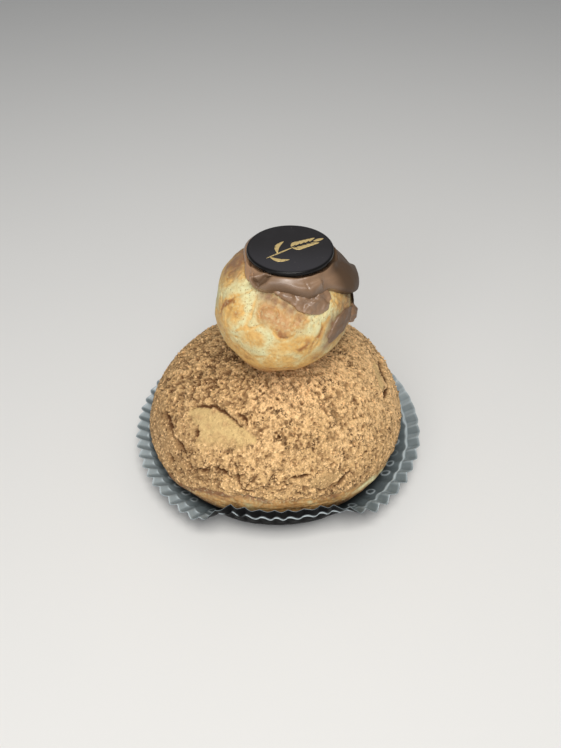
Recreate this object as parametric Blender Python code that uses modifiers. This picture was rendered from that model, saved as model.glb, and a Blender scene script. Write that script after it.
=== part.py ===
"""Religieuse: a small choux bun on a large one, in a pleated paper case.

The large bun has a craquelin crust and sits in a round paper case whose front wall is pushed
upright against it. The small bun rests on its dome, under a cap of chocolate icing that has
slipped towards the right and the back, and a thin round chocolate disc lies on the icing.

Lengths are metres, +Z is up and the front looks along -Y. The origin is the centre of the
case's flat base, on the ground. Azimuths are measured at the vertical axis from the front (-Y)
towards the right (+X). Each piece is one closed body, with a small gap to its neighbours.
"""

import math

import bmesh
import bpy

MM = 0.001
GAP = 0.3 * MM  # free space kept between pieces that touch

# Paper case. Its wall is drawn by the corners (radius, height) of its outer face: the edge of
# the flat base, a bend, the crease below the rim, and the rim.
CASE_FLARED = ((25.5 * MM, 0.0), (31.6 * MM, 3.8 * MM), (37.1 * MM, 7.3 * MM), (40.2 * MM, 9.0 * MM))
CASE_UPRIGHT = ((25.5 * MM, 0.0), (34.8 * MM, 6.8 * MM), (36.4 * MM, 12.1 * MM), (36.9 * MM, 15.6 * MM))
CASE_RIGHT_TURN = (math.radians(18.0), math.radians(42.0))  # azimuths where upright turns to flared
CASE_LEFT_TURN = (math.radians(16.0), math.radians(31.0))
CASE_PAPER = 0.4 * MM
CASE_PLEATS = 60
CASE_PLEAT_DEPTH = 0.75 * MM  # how far a fold stands off the wall's middle at the rim
CASE_PRESSED_DEPTH = 0.45 * MM  # the same in the upright front, where the folds are pressed open
CASE_SWAY = 0.4 * MM  # how far the whole rim leans to the right
CASE_COLUMNS = 2  # mesh columns in one pleat: an outer and an inner fold

# Large bun.
LARGE_RADIUS = 35.0 * MM
LARGE_WAIST = 11.8 * MM  # height of its widest level
LARGE_TOP = 37.1 * MM
LARGE_BASE_RADIUS = 20.5 * MM
LARGE_BASE = CASE_PAPER + GAP
LARGE_CROWN_POWER = 0.98  # below 1, the dome is fuller than an ellipse
LARGE_TUCK_POWER = 1.9  # how fast the side turns in towards the base
LARGE_WAIST_SHIFT = -1.1 * MM  # sideways place of the widest level
LARGE_TOP_SHIFT = 3.0 * MM  # sideways place of the top, as the bun leans to the right
LARGE_UNEVENNESS = 0.011  # share of the radius

# Small bun.
SMALL_RADIUS = 16.95 * MM
SMALL_CENTRE = (1.6 * MM, -1.8 * MM, 52.2 * MM)
SMALL_RISE = 15.3 * MM  # from the widest level to where the round top would end
SMALL_DROP = 16.6 * MM
SMALL_TOP = 65.6 * MM  # height of the top that the icing and the disc press flat
SMALL_CROWN_POWER = 0.8  # below 1, its shoulders are fuller than an ellipse
SMALL_UNEVENNESS = 0.014

# Chocolate disc.
DISC_RADIUS = 9.9 * MM
DISC_THICKNESS = 1.2 * MM
DISC_CENTRE = (3.2 * MM, -2.8 * MM)
DISC_BOTTOM = 67.6 * MM
DISC_EDGE = 0.4 * MM

# Icing cap: how far round the small bun it hangs, as (azimuth, level angle above its waist).
ICING_HEM = (
    (-170, 38), (-140, 52), (-105, 63), (-72, 63), (-45, 56), (-20, 48), (5, 47), (20, 41),
    (33, 31), (50, 37), (64, 30), (84, 15), (110, 12), (140, 21), (165, 31),
)
ICING_THICKNESS = 1.4 * MM
# Extra thickness of its rolls: the fold squeezed out under the disc's front edge, and the lip at
# the right. Each is (thickness, azimuth, spread of azimuth, level angle, spread of level).
ICING_ROLLS = ((1.5 * MM, 12, 42, 52, 13), (0.8 * MM, 78, 26, 27, 16))
ICING_ROUNDED = 0.3  # share of the way from hem to middle over which the hem is rounded


def smooth_step(start, end, value):
    """0 at start and 1 at end, level at both."""
    share = min(1.0, max(0.0, (value - start) / (end - start)))
    return share * share * (3.0 - 2.0 * share)


def hump(distance, width):
    """A bell of height 1 that falls to about a third at one width from its middle."""
    return math.exp(-((distance / width) ** 2))


def turn_between(angle, centre):
    """The shorter way round from centre to angle."""
    return math.remainder(angle - centre, math.tau)


def unevenness(azimuth, level, phase):
    """Slow swellings round a bun, between about -1 and 1, that die out at its top and bottom."""
    waves = (
        0.45 * math.sin(2.0 * azimuth + phase)
        + 0.35 * math.sin(3.0 * azimuth - 2.0 * level + 2.1 * phase)
        + 0.2 * math.sin(5.0 * azimuth + 3.0 * level + 3.7 * phase)
    )
    return waves * math.cos(level) ** 2


def large_shift(height):
    """Sideways place of the large bun's middle at a height: 0 at its base, leaning right above."""
    if height < LARGE_WAIST:
        return LARGE_WAIST_SHIFT * (height - LARGE_BASE) / (LARGE_WAIST - LARGE_BASE)
    rise = (height - LARGE_WAIST) / (LARGE_TOP - LARGE_WAIST)
    return LARGE_WAIST_SHIFT + (LARGE_TOP_SHIFT - LARGE_WAIST_SHIFT) * rise


def large_point(level, azimuth):
    """A point of the large bun. level runs from -90 degrees at its base to 90 at its top.

    Above the waist the radius is R cos(level)^crown; below, it falls from R to the base's radius
    by cos(level)^tuck.
    """
    across = max(0.0, math.cos(level))
    if level >= 0.0:
        radius = LARGE_RADIUS * across**LARGE_CROWN_POWER
        height = LARGE_WAIST + (LARGE_TOP - LARGE_WAIST) * math.sin(level)
    else:
        radius = LARGE_BASE_RADIUS + (LARGE_RADIUS - LARGE_BASE_RADIUS) * across**LARGE_TUCK_POWER
        height = LARGE_WAIST + (LARGE_WAIST - LARGE_BASE) * math.sin(level)
    radius *= 1.0 + LARGE_UNEVENNESS * unevenness(azimuth, level, -0.2)
    shift = large_shift(height)
    return shift + radius * math.sin(azimuth), -radius * math.cos(azimuth), height


def dome_height(x, y):
    """Height of the large bun's dome above (x, y), found from its outline in a few steps."""
    height = LARGE_TOP
    for _ in range(6):
        radius = math.hypot(x - large_shift(height), y)
        across = min(1.0, radius / LARGE_RADIUS) ** (1.0 / LARGE_CROWN_POWER)
        height = LARGE_WAIST + (LARGE_TOP - LARGE_WAIST) * math.sqrt(1.0 - across * across)
    return height


def small_point(level, azimuth, offset=0.0):
    """A point of the small bun, or of a skin at an offset outside it, before its flat places."""
    across = max(0.0, math.cos(level))
    if level >= 0.0:
        radius = SMALL_RADIUS * across**SMALL_CROWN_POWER
        rise = SMALL_RISE
    else:
        radius = SMALL_RADIUS * across
        rise = SMALL_DROP
    radius *= 1.0 + SMALL_UNEVENNESS * unevenness(azimuth, level, 2.4)
    out, up = math.cos(level) / SMALL_RADIUS, math.sin(level) / rise
    length = math.hypot(out, up)
    radius += offset * out / length
    height = rise * math.sin(level) + offset * up / length
    return (
        SMALL_CENTRE[0] + radius * math.sin(azimuth),
        SMALL_CENTRE[1] - radius * math.cos(azimuth),
        SMALL_CENTRE[2] + height,
    )


def icing_hem(azimuth):
    """Level angle of the icing's hem: a smooth closed curve through the corners of ICING_HEM."""
    degrees = math.degrees(azimuth)
    count = len(ICING_HEM)
    for index in range(count):
        before, start, end, after = (ICING_HEM[(index + step) % count] for step in (-1, 0, 1, 2))
        width = (end[0] - start[0]) % 360
        share = ((degrees - start[0]) % 360) / width
        if share <= 1.0:
            break
    slope_start = 0.5 * (end[1] - before[1])
    slope_end = 0.5 * (after[1] - start[1])
    square, cube = share * share, share**3
    level = (
        (2 * cube - 3 * square + 1) * start[1]
        + (cube - 2 * square + share) * slope_start
        + (3 * square - 2 * cube) * end[1]
        + (cube - square) * slope_end
    )
    return math.radians(level)


def icing_thickness(level, azimuth, inward):
    """Thickness of the icing: rounded off at the hem, and thicker in its rolls."""
    thickness = ICING_THICKNESS
    for extra, middle, spread, middle_level, level_spread in ICING_ROLLS:
        round_part = hump(turn_between(azimuth, math.radians(middle)), math.radians(spread))
        level_part = hump(level - math.radians(middle_level), math.radians(level_spread))
        thickness += extra * round_part * level_part
    rounding = 1.0 - min(1.0, inward / ICING_ROUNDED)
    return thickness * math.sqrt(1.0 - rounding * rounding)


def surface_material(name, colour, roughness):
    material = bpy.data.materials.new(name)
    material.use_nodes = True
    shader = material.node_tree.nodes["Principled BSDF"]
    shader.inputs["Base Color"].default_value = (*colour, 1.0)
    shader.inputs["Roughness"].default_value = roughness
    shader.inputs["Metallic"].default_value = 0.0
    return material


def add_object(name, bm, collection, material):
    """Turns a bmesh into a smooth-shaded object in the collection."""
    mesh = bpy.data.meshes.new(name)
    bm.to_mesh(mesh)
    bm.free()
    mesh.shade_smooth()
    mesh.materials.append(material)
    piece = bpy.data.objects.new(name, mesh)
    collection.objects.link(piece)
    return piece


def shaped_sphere(segments, rings, point):
    """A UV sphere whose vertices are moved to point(share, azimuth).

    share runs from 0 at the lower pole to 1 at the upper one, in equal steps from ring to ring.
    """
    bm = bmesh.new()
    bmesh.ops.create_uvsphere(bm, u_segments=segments, v_segments=rings, radius=1.0)
    for vertex in bm.verts:
        share = 0.5 + math.asin(min(1.0, max(-1.0, vertex.co.z))) / math.pi
        azimuth = math.atan2(vertex.co.x, -vertex.co.y)
        vertex.co = point(share, azimuth)
    return bm


def add_large_choux(collection):
    rings = 24
    first = 1.0 / rings

    def point(share, azimuth):
        if share < 0.5 * first:
            return 0.0, 0.0, LARGE_BASE
        side = (share - first) / (1.0 - first)
        return large_point(math.pi * max(0.0, side) ** 0.72 - math.pi / 2, azimuth)

    bm = shaped_sphere(40, rings, point)
    material = surface_material("craquelin", (0.55, 0.32, 0.13), 0.85)
    return add_object("large_choux", bm, collection, material)


def add_small_choux(collection):
    def point(share, azimuth):
        x, y, z = small_point(math.pi * (share - 0.5), azimuth)
        return x, y, max(min(z, SMALL_TOP), dome_height(x, y) + GAP)

    bm = shaped_sphere(36, 20, point)
    material = surface_material("choux_skin", (0.68, 0.46, 0.19), 0.6)
    return add_object("small_choux", bm, collection, material)


def add_icing_cap(collection):
    """The sphere's lower half lines the small bun and its upper half is the icing's outside."""

    def point(share, azimuth):
        inward = abs(2.0 * share - 1.0)
        hem = icing_hem(azimuth)
        level = hem + (math.pi / 2 - hem) * inward
        offset, ceiling = GAP, SMALL_TOP + GAP
        if share > 0.5:
            offset += icing_thickness(level, azimuth, inward)
            ceiling = DISC_BOTTOM - GAP
        x, y, z = small_point(level, azimuth, offset)
        return x, y, min(z, ceiling)

    bm = shaped_sphere(44, 18, point)
    material = surface_material("chocolate_icing", (0.20, 0.11, 0.07), 0.35)
    return add_object("icing_cap", bm, collection, material)


def add_chocolate_disc(collection):
    bm = bmesh.new()
    bmesh.ops.create_cone(
        bm, cap_ends=True, segments=48, radius1=DISC_RADIUS, radius2=DISC_RADIUS,
        depth=DISC_THICKNESS,
    )
    material = surface_material("dark_chocolate", (0.035, 0.028, 0.027), 0.45)
    disc = add_object("chocolate_disc", bm, collection, material)
    disc.location = (*DISC_CENTRE, DISC_BOTTOM + DISC_THICKNESS / 2)
    bevel = disc.modifiers.new("rounded edge", "BEVEL")
    bevel.width = DISC_EDGE
    bevel.segments = 2
    disc.data.set_sharp_from_angle(angle=math.radians(60))
    return disc


def case_corners(azimuth):
    """Corners of the wall at an azimuth, between its upright and its flared outline."""
    start, end = CASE_RIGHT_TURN if azimuth > 0.0 else CASE_LEFT_TURN
    flare = smooth_step(start, end, abs(azimuth))
    corners = [
        [stood + (laid - stood) * flare for stood, laid in zip(*pair)]
        for pair in zip(CASE_UPRIGHT, CASE_FLARED)
    ]
    depth = CASE_PRESSED_DEPTH + (CASE_PLEAT_DEPTH - CASE_PRESSED_DEPTH) * flare
    return corners, depth


def case_point(climb, azimuth):
    """Outer face of the case's wall, with climb from 0 at the base's edge to 1 at the rim.

    The folds are a triangle wave round the wall that moves it in and out along its normal, by a
    depth that grows from nothing at the base.
    """
    corners, depth = case_corners(azimuth)
    index = min(len(corners) - 2, int(climb * (len(corners) - 1)))
    share = climb * (len(corners) - 1) - index
    (low_radius, low_height), (high_radius, high_height) = corners[index], corners[index + 1]
    run, rise = high_radius - low_radius, high_height - low_height
    turn = azimuth / math.tau * CASE_PLEATS
    fold = (4.0 * abs(turn - math.floor(turn + 0.5)) - 1.0) * depth * climb / math.hypot(run, rise)
    radius = low_radius + run * share + rise * fold + CASE_SWAY * climb * math.sin(azimuth)
    height = low_height + rise * share - run * fold
    return radius * math.sin(azimuth), -radius * math.cos(azimuth), height


def add_pleated_case(collection):
    """The lower half of a sphere's net, opened out into the case's outer face and thickened."""
    steps = 2 * (len(CASE_FLARED) - 1)  # rings of the wall, two to each stretch between corners
    rings = 2 * (steps + 1)

    def point(share, azimuth):
        ring = round(share * rings)
        if ring > steps + 1:
            return 0.0, 0.0, 1.0
        if ring == 0:
            return 0.0, 0.0, 0.0
        return case_point((ring - 1) / steps, azimuth)

    bm = shaped_sphere(CASE_PLEATS * CASE_COLUMNS, rings, point)
    bmesh.ops.delete(bm, geom=[v for v in bm.verts if v.co.z > 0.5], context="VERTS")
    material = surface_material("laminated_paper", (0.30, 0.37, 0.39), 0.35)
    case = add_object("pleated_case", bm, collection, material)
    paper = case.modifiers.new("paper", "SOLIDIFY")
    paper.thickness = CASE_PAPER
    paper.offset = -1.0
    return case


def main():
    for old in list(bpy.data.objects):
        bpy.data.objects.remove(old)
    collection = bpy.data.collections.new("religieuse")
    bpy.context.scene.collection.children.link(collection)
    add_pleated_case(collection)
    add_large_choux(collection)
    add_small_choux(collection)
    add_icing_cap(collection)
    add_chocolate_disc(collection)


main()
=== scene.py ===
"""Religieuse: a small choux bun on a large one with a craquelin crust, in a pleated paper case.

Each piece is a surface worked out in millimetres on a grid of rows and columns. Columns run
round the vertical axis from the front (-Y) towards the right (+X), and rows run from the bottom
to the top. Azimuth is the angle round that axis; level is the angle above a bun's widest line.
"""

import itertools
import math

import bpy
import numpy as np
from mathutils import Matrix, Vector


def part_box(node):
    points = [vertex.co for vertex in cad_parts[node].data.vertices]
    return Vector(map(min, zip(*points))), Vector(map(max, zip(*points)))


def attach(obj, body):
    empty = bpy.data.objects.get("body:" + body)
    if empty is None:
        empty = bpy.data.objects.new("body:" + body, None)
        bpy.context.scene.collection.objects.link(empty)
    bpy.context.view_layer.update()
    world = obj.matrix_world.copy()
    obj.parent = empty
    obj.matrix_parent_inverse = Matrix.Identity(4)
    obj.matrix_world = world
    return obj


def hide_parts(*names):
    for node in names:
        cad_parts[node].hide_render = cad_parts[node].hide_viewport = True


bl_info = {
    "name": "Religieuse Choux Pastry",
    "version": (1, 0, 0),
    "blender": (4, 5, 0),
    "location": "3D View > Sidebar > Pastry",
    "description": "Builds a religieuse with craquelin crust, icing, chocolate disc and paper case",
    "category": "Add Mesh",
}

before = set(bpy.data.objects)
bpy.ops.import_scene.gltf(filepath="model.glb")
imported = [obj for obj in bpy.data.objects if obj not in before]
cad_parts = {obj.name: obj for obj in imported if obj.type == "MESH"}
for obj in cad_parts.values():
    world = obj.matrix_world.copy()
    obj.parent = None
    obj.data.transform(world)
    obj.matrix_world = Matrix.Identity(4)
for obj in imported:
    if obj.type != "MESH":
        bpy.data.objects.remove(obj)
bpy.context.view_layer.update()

MM = 0.001


def node_box(node):
    """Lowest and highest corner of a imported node, in millimetres."""
    low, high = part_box(node)
    return np.array(low) / MM, np.array(high) / MM


LARGE_LOW, LARGE_HIGH = node_box("large_choux")
SMALL_LOW, SMALL_HIGH = node_box("small_choux")
DISC_LOW, DISC_HIGH = node_box("chocolate_disc")

# Large bun: half width, widest level, radius of its flat base, its lean to the right, and the
# power of the cosine that rounds it above its widest level.
LARGE_RADIUS = 0.5 * (LARGE_HIGH[1] - LARGE_LOW[1])
LARGE_BASE = LARGE_LOW[2]
LARGE_TOP = LARGE_HIGH[2]
LARGE_WAIST = LARGE_BASE + 0.305 * (LARGE_TOP - LARGE_BASE)
LARGE_FOOT = 0.586 * LARGE_RADIUS
LARGE_WAIST_SHIFT = -1.1
LARGE_TOP_SHIFT = 3.0
LARGE_ROUNDNESS = 0.98
# Swellings: (height, azimuth, spread, level, spread), height in millimetres, angles in degrees.
LARGE_SWELLINGS = (
    (0.5, -92, 24, 34, 13), (-0.6, -62, 24, 10, 10), (-0.5, 90, 22, 36, 13), (0.5, 64, 20, 10, 10),
    (0.4, 128, 26, 40, 16), (0.4, -150, 30, 22, 14), (-0.4, 170, 30, 48, 16),
)

# Small bun: middle, half width, widest level, and its reach above and below that level.
SMALL_MIDDLE = 0.5 * (SMALL_LOW + SMALL_HIGH)
SMALL_RADIUS = 0.25 * (SMALL_HIGH[0] - SMALL_LOW[0] + SMALL_HIGH[1] - SMALL_LOW[1])
SMALL_WAIST = SMALL_LOW[2] + 0.534 * (SMALL_HIGH[2] - SMALL_LOW[2])
SMALL_RISE = 0.9 * SMALL_RADIUS
SMALL_DROP = 0.98 * SMALL_RADIUS
SMALL_TOP = SMALL_HIGH[2]
SMALL_SWELLINGS = (
    (0.8, -30, 24, -48, 16), (-0.5, -90, 26, 12, 14), (-0.4, 48, 24, -32, 14), (0.4, 150, 40, 0, 30),
)

# Chocolate disc.
DISC_RADIUS = 0.5 * (DISC_HIGH[0] - DISC_LOW[0])
DISC_MIDDLE = 0.5 * (DISC_LOW + DISC_HIGH)

# Paper case: corners (radius, height) of its wall, from the edge of the flat base past a bend and
# the crease to the rim, where it lies open and where it stands against the bun at the front.
CASE_FLARED = ((25.5, 0.0), (31.6, 3.8), (37.1, 7.3), (40.2, 9.0))
CASE_UPRIGHT = ((25.5, 0.0), (34.8, 6.8), (36.4, 12.1), (36.9, 15.6))
# Degrees from the front over which the wall turns from upright to open, at the right and left.
CASE_RIGHT_TURN = (18.0, 42.0)
CASE_LEFT_TURN = (16.0, 31.0)
# Climb of the crease, and of the middles of the loops pressed into the pleats.
CASE_CREASE = 2.0
CASE_LOOPS = 1.46


# ---------------------------------------------------------------- curves and noise

def smooth(start, end, value):
    """0 up to start and 1 from end on, joined by an S-curve."""
    share = np.clip((value - start) / (end - start), 0.0, 1.0)
    return share * share * (3.0 - 2.0 * share)


def blend(first, second, share):
    """The way from first to second, by share."""
    return first + (second - first) * share


def stretches(*runs):
    """Evenly spaced values for each run (first, last, count), one run after the other."""
    return np.concatenate([np.linspace(*run) for run in runs])


def wrapped(degrees):
    """The same angle between -180 and 180 degrees."""
    return (degrees + 180.0) % 360.0 - 180.0


def round_azimuths(columns):
    """Azimuths of evenly spaced columns, once round from the back by the left."""
    return np.arange(columns) * math.tau / columns - math.pi


def closed_curve(angle, corners):
    """Value at an angle in degrees on a smooth closed curve through (angle, value) corners.

    Between two corners it is a cubic whose slope at each is half the difference of its neighbours.
    """
    angles = np.array([corner[0] for corner in corners], float)
    values = np.array([corner[1] for corner in corners], float)
    start = angles[0]
    turned = (angle - start) % 360.0
    index = np.searchsorted(angles - start, turned, side="right") - 1
    widths = (np.roll(angles, -1) - angles) % 360.0
    share = (turned - (angles[index] - start)) / widths[index]
    slopes = 0.5 * (np.roll(values, -1) - np.roll(values, 1))
    after = (index + 1) % len(corners)
    square = share * share
    cube = square * share
    return (
        (2 * cube - 3 * square + 1) * values[index]
        + (cube - 2 * square + share) * slopes[index]
        + (3 * square - 2 * cube) * values[after]
        + (cube - square) * slopes[after]
    )


def smooth_loop(corners, count):
    """Points on a smooth closed loop through the corners, count of them."""
    corners = np.array(corners, float)
    steps = np.arange(len(corners)) * 360.0 / len(corners)
    angle = np.arange(count) * 360.0 / count
    axes = [closed_curve(angle, np.stack((steps, corners[:, axis]), axis=1)) for axis in (0, 1)]
    return np.stack(axes, axis=-1)


def cell_random(cell, salt):
    """A repeatable number between 0 and 1 for each whole-numbered cell (..., 3).

    The indices are multiplied by large odd numbers and mixed by shifts and exclusive-or.
    """
    cell = cell.astype(np.int64)
    mixed = cell[..., 0] * 73856093 ^ cell[..., 1] * 19349663 ^ cell[..., 2] * 83492791
    mixed = ((mixed ^ (salt + 1) * 2654435761) & 0xFFFFFFFF).astype(np.uint32)
    for shift, factor in ((16, 0x7FEB352D), (15, 0x846CA68B)):
        mixed ^= mixed >> np.uint32(shift)
        mixed *= np.uint32(factor)
    return (mixed ^ (mixed >> np.uint32(16))) / 2.0**32


def random_vector(cell, salt):
    """Three random numbers for each cell."""
    return np.stack([cell_random(cell, 3 * salt + axis) for axis in range(3)], axis=-1)


def noise(points, size, salt):
    """Smooth noise between about -1 and 1, with swells about one size across.

    Each corner of a cube of that size has a random slope; the slopes' heights at a point are
    blended by an S-curve along each axis.
    """
    place = points / size
    cell = np.floor(place)
    inside = place - cell
    share = inside * inside * (3.0 - 2.0 * inside)
    total = 0.0
    for corner in itertools.product((0.0, 1.0), repeat=3):
        weight = np.prod(np.where(np.array(corner) > 0.5, share, 1.0 - share), axis=-1)
        slope = 2.0 * random_vector(cell + corner, salt) - 1.0
        total = total + weight * np.sum(slope * (inside - corner), axis=-1)
    return 1.6 * total


def layered_noise(points, size, layers, salt):
    """Noise with finer layers added, each half as large and half as high as the one before."""
    return sum(0.5**layer * noise(points, size * 0.5**layer, salt + layer) for layer in range(layers))


def shaken(points, size, reach, salt):
    """The points pushed about by noise, so that shapes drawn from them get ragged outlines."""
    return points + reach * np.stack([noise(points, size, salt + axis) for axis in range(3)], axis=-1)


def grains(points, size, salt):
    """Splits space into lumps round scattered seeds, one seed in each cube of the given size.

    Returns how much further the second nearest seed is than the nearest, in sizes, and a random
    number for the nearest one.
    """
    place = points / size
    cell = np.floor(place)
    first = np.full(points.shape[:-1], 9.0)
    second = first.copy()
    number = np.zeros_like(first)
    for step in itertools.product((-1.0, 0.0, 1.0), repeat=3):
        near = cell + step
        distance = np.linalg.norm(near + random_vector(near, salt) - place, axis=-1)
        closer = distance < first
        second = np.where(closer, first, np.minimum(second, distance))
        number = np.where(closer, cell_random(near, 3 * salt + 7), number)
        first = np.minimum(first, distance)
    return second - first, number


def line_reach(points, corners, widths):
    """Distance from each point to a line through corners, in units of the line's half width.

    The half width changes evenly from each corner to the next.
    """
    reach = np.full(points.shape[:-1], 99.0)
    for start, end, first, last in zip(corners[:-1], corners[1:], widths[:-1], widths[1:]):
        run = end - start
        share = np.clip((points - start) @ run / max(run @ run, 1e-9), 0.0, 1.0)
        distance = np.linalg.norm(points - start - share[..., None] * run, axis=-1)
        reach = np.minimum(reach, distance / blend(first, last, share))
    return reach


# ---------------------------------------------------------------- meshes

def grid_faces(rows, columns):
    """Corner numbers of a grid's quads, and of the fans that close its first and last row.

    The grid is closed round its columns. The fans' middles are the two vertices after it.
    """
    index = np.arange(rows * columns).reshape(rows, columns)
    after = np.roll(index, -1, axis=1)
    quads = np.stack((index[:-1], after[:-1], after[1:], index[1:]), axis=-1).reshape(-1, 4)
    middle = np.full(columns, rows * columns)
    lower = np.stack((after[0], index[0], middle), axis=-1)
    upper = np.stack((index[-1], after[-1], middle + 1), axis=-1)
    return quads, np.concatenate((lower, upper))


def with_poles(grid):
    """A grid's points, or values, as one list, followed by the middles of its end rows."""
    rows, columns = grid.shape[:2]
    poles = np.stack((grid[0].mean(axis=0), grid[-1].mean(axis=0)))
    return np.concatenate((grid.reshape(rows * columns, *grid.shape[2:]), poles))


def add_mesh(name, points, quads, fans, materials, masks):
    """Puts points in millimetres and faces into a smooth object, with a value for each mask."""
    corners = np.concatenate((quads.ravel(), fans.ravel())).astype(np.int32)
    starts = np.concatenate((np.arange(len(quads)) * 4, quads.size + np.arange(len(fans)) * 3))
    mesh = bpy.data.meshes.new(name)
    mesh.vertices.add(len(points))
    mesh.vertices.foreach_set("co", (points * MM).astype(np.float32).ravel())
    mesh.loops.add(len(corners))
    mesh.loops.foreach_set("vertex_index", corners)
    mesh.polygons.add(len(starts))
    mesh.polygons.foreach_set("loop_start", starts.astype(np.int32))
    mesh.update(calc_edges=True)
    mesh.shade_smooth()
    for label, values in masks.items():
        layer = mesh.attributes.new(label, "FLOAT", "POINT")
        layer.data.foreach_set("value", values.astype(np.float32).ravel())
    for material in materials:
        mesh.materials.append(material)
    piece = bpy.data.objects.new(name, mesh)
    bpy.context.scene.collection.objects.link(piece)
    return piece


def add_grid(name, grid, materials, **masks):
    """An object from one closed grid of points (rows, columns, 3)."""
    quads, fans = grid_faces(*grid.shape[:2])
    masks = {label: with_poles(values) for label, values in masks.items()}
    return add_mesh(name, with_poles(grid), quads, fans, materials, masks)


def add_grids(name, grids, materials, **masks):
    """One object from many closed grids of the same size (copies, rows, columns, 3)."""
    quads, fans = grid_faces(*grids.shape[1:3])
    points = np.stack([with_poles(grid) for grid in grids])
    offsets = (np.arange(len(grids)) * points.shape[1])[:, None, None]
    masks = {label: np.stack([with_poles(values) for values in mask]) for label, mask in masks.items()}
    all_quads = (quads + offsets).reshape(-1, 4)
    all_fans = (fans + offsets).reshape(-1, 3)
    return add_mesh(name, points.reshape(-1, 3), all_quads, all_fans, materials, masks)


def turned_point(radius, azimuth, height):
    """A point at a radius and height, turned by the azimuth from the front towards the right."""
    return np.stack((radius * np.sin(azimuth), -radius * np.cos(azimuth), height), axis=-1)


# ---------------------------------------------------------------- the two buns' forms

def unevenness(azimuth, level, phase):
    """Slow swellings round a bun, between about -1 and 1, that die out at its top and bottom."""
    waves = (
        0.45 * np.sin(2.0 * azimuth + phase)
        + 0.35 * np.sin(3.0 * azimuth - 2.0 * level + 2.1 * phase)
        + 0.2 * np.sin(5.0 * azimuth + 3.0 * level + 3.7 * phase)
    )
    return waves * np.cos(level) ** 2


def swelling(azimuth, level, humps):
    """Sum of bell-shaped humps, each (height, azimuth, spread, level, spread)."""
    total = 0.0
    for height, middle, spread, middle_level, level_spread in humps:
        away = wrapped(np.degrees(azimuth) - middle)
        up = np.degrees(level) - middle_level
        total = total + height * np.exp(-((away / spread) ** 2) - (up / level_spread) ** 2)
    return total


def large_shift(height):
    """Sideways place of the large bun's middle: none at its base, leaning right above its waist."""
    heights = (LARGE_BASE, LARGE_WAIST, LARGE_TOP)
    return np.interp(height, heights, (0.0, LARGE_WAIST_SHIFT, LARGE_TOP_SHIFT))


def large_surface(azimuth, level, proud=0.0):
    """The large bun: above its waist nearly an ellipse's quarter, below it a curve to the base.

    The radius is R cos(level)^0.98 above and runs to the foot's radius by cos(level)^1.9 below.
    """
    across = np.maximum(np.cos(level), 0.0)
    sine = np.sin(level)
    crown = LARGE_RADIUS * across**LARGE_ROUNDNESS
    tuck = blend(LARGE_FOOT, LARGE_RADIUS, across**1.9)
    radius = np.where(level >= 0.0, crown, tuck)
    reach = np.where(level >= 0.0, LARGE_TOP - LARGE_WAIST, LARGE_WAIST - LARGE_BASE)
    height = LARGE_WAIST + reach * sine
    radius = radius * (1.0 + 0.011 * unevenness(azimuth, level, -0.2))
    out = proud + swelling(azimuth, level, LARGE_SWELLINGS)
    radius = radius + out * across
    point = turned_point(radius, azimuth, height + out * sine)
    point[..., 0] += large_shift(height)
    return point


def dome_height(x, y):
    """Height of the large bun's dome above a place, found from its outline in a few steps."""
    height = np.full(np.shape(x), LARGE_TOP)
    for _ in range(6):
        radius = np.hypot(x - large_shift(height), y)
        across = np.minimum(1.0, radius / LARGE_RADIUS) ** (1.0 / LARGE_ROUNDNESS)
        height = LARGE_WAIST + (LARGE_TOP - LARGE_WAIST) * np.sqrt(1.0 - across * across)
    return height


def small_surface(azimuth, level, proud=0.0):
    """The small bun: R cos(level)^0.8 above its waist and R cos(level) below it."""
    across = np.maximum(np.cos(level), 0.0)
    sine = np.sin(level)
    radius = SMALL_RADIUS * np.where(level >= 0.0, across**0.8, across)
    rise = np.where(level >= 0.0, SMALL_RISE, SMALL_DROP)
    radius = radius * (1.0 + 0.014 * unevenness(azimuth, level, 2.4))
    out = proud + swelling(azimuth, level, SMALL_SWELLINGS)
    side = across / SMALL_RADIUS
    up = sine / rise
    length = np.hypot(side, up)
    point = turned_point(radius + out * side / length, azimuth, rise * sine + out * up / length)
    return point + np.array((SMALL_MIDDLE[0], SMALL_MIDDLE[1], SMALL_WAIST))


def on_bun(surface, corners):
    """Points of a bun at (azimuth, level) corners given in degrees."""
    angles = np.radians(np.array(corners, float))
    return surface(angles[:, 0], angles[:, 1])


def tapered(corners, width):
    """Half widths for a line's corners: full in its middle and a third at its ends."""
    share = np.linspace(0.0, 1.0, len(corners))
    return width * (0.33 + 0.67 * np.sin(np.pi * share))


def groove(points, surface, corners, width):
    """1 along a line of (azimuth, level) corners on a bun, falling off as a bell to its sides."""
    return np.exp(-line_reach(points, on_bun(surface, corners), tapered(corners, width)) ** 2)


def spots(points, surface, places):
    """Strongest of round spots with soft rims, each (strength, azimuth, level, radius)."""
    total = np.zeros(points.shape[:-1])
    for strength, azimuth, level, radius in places:
        middle = on_bun(surface, [(azimuth, level)])[0]
        reach = np.linalg.norm(points - middle, axis=-1) / radius
        total = np.maximum(total, strength * (1.0 - smooth(0.55, 1.15, reach)))
    return total


# ---------------------------------------------------------------- shader nodes

def set_socket(tree, socket, value):
    """Links a socket to another one, or sets its own value; a colour is (red, green, blue)."""
    if isinstance(value, bpy.types.NodeSocket):
        tree.links.new(value, socket)
    elif socket.type == "RGBA":
        socket.default_value = (*value, 1.0)
    else:
        socket.default_value = value


def add_node(tree, kind, inputs=None, **settings):
    """Adds a node. inputs gives its sockets, by name or number, a value or a link from a socket."""
    node = tree.nodes.new(kind)
    for key, value in settings.items():
        setattr(node, key, value)
    for key, value in (inputs or {}).items():
        set_socket(tree, node.inputs[key], value)
    return node


def calculate(tree, operation, first, second, limit=False):
    """A Math node's result."""
    inputs = {0: first, 1: second}
    return add_node(tree, "ShaderNodeMath", inputs, operation=operation, use_clamp=limit).outputs[0]


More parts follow.
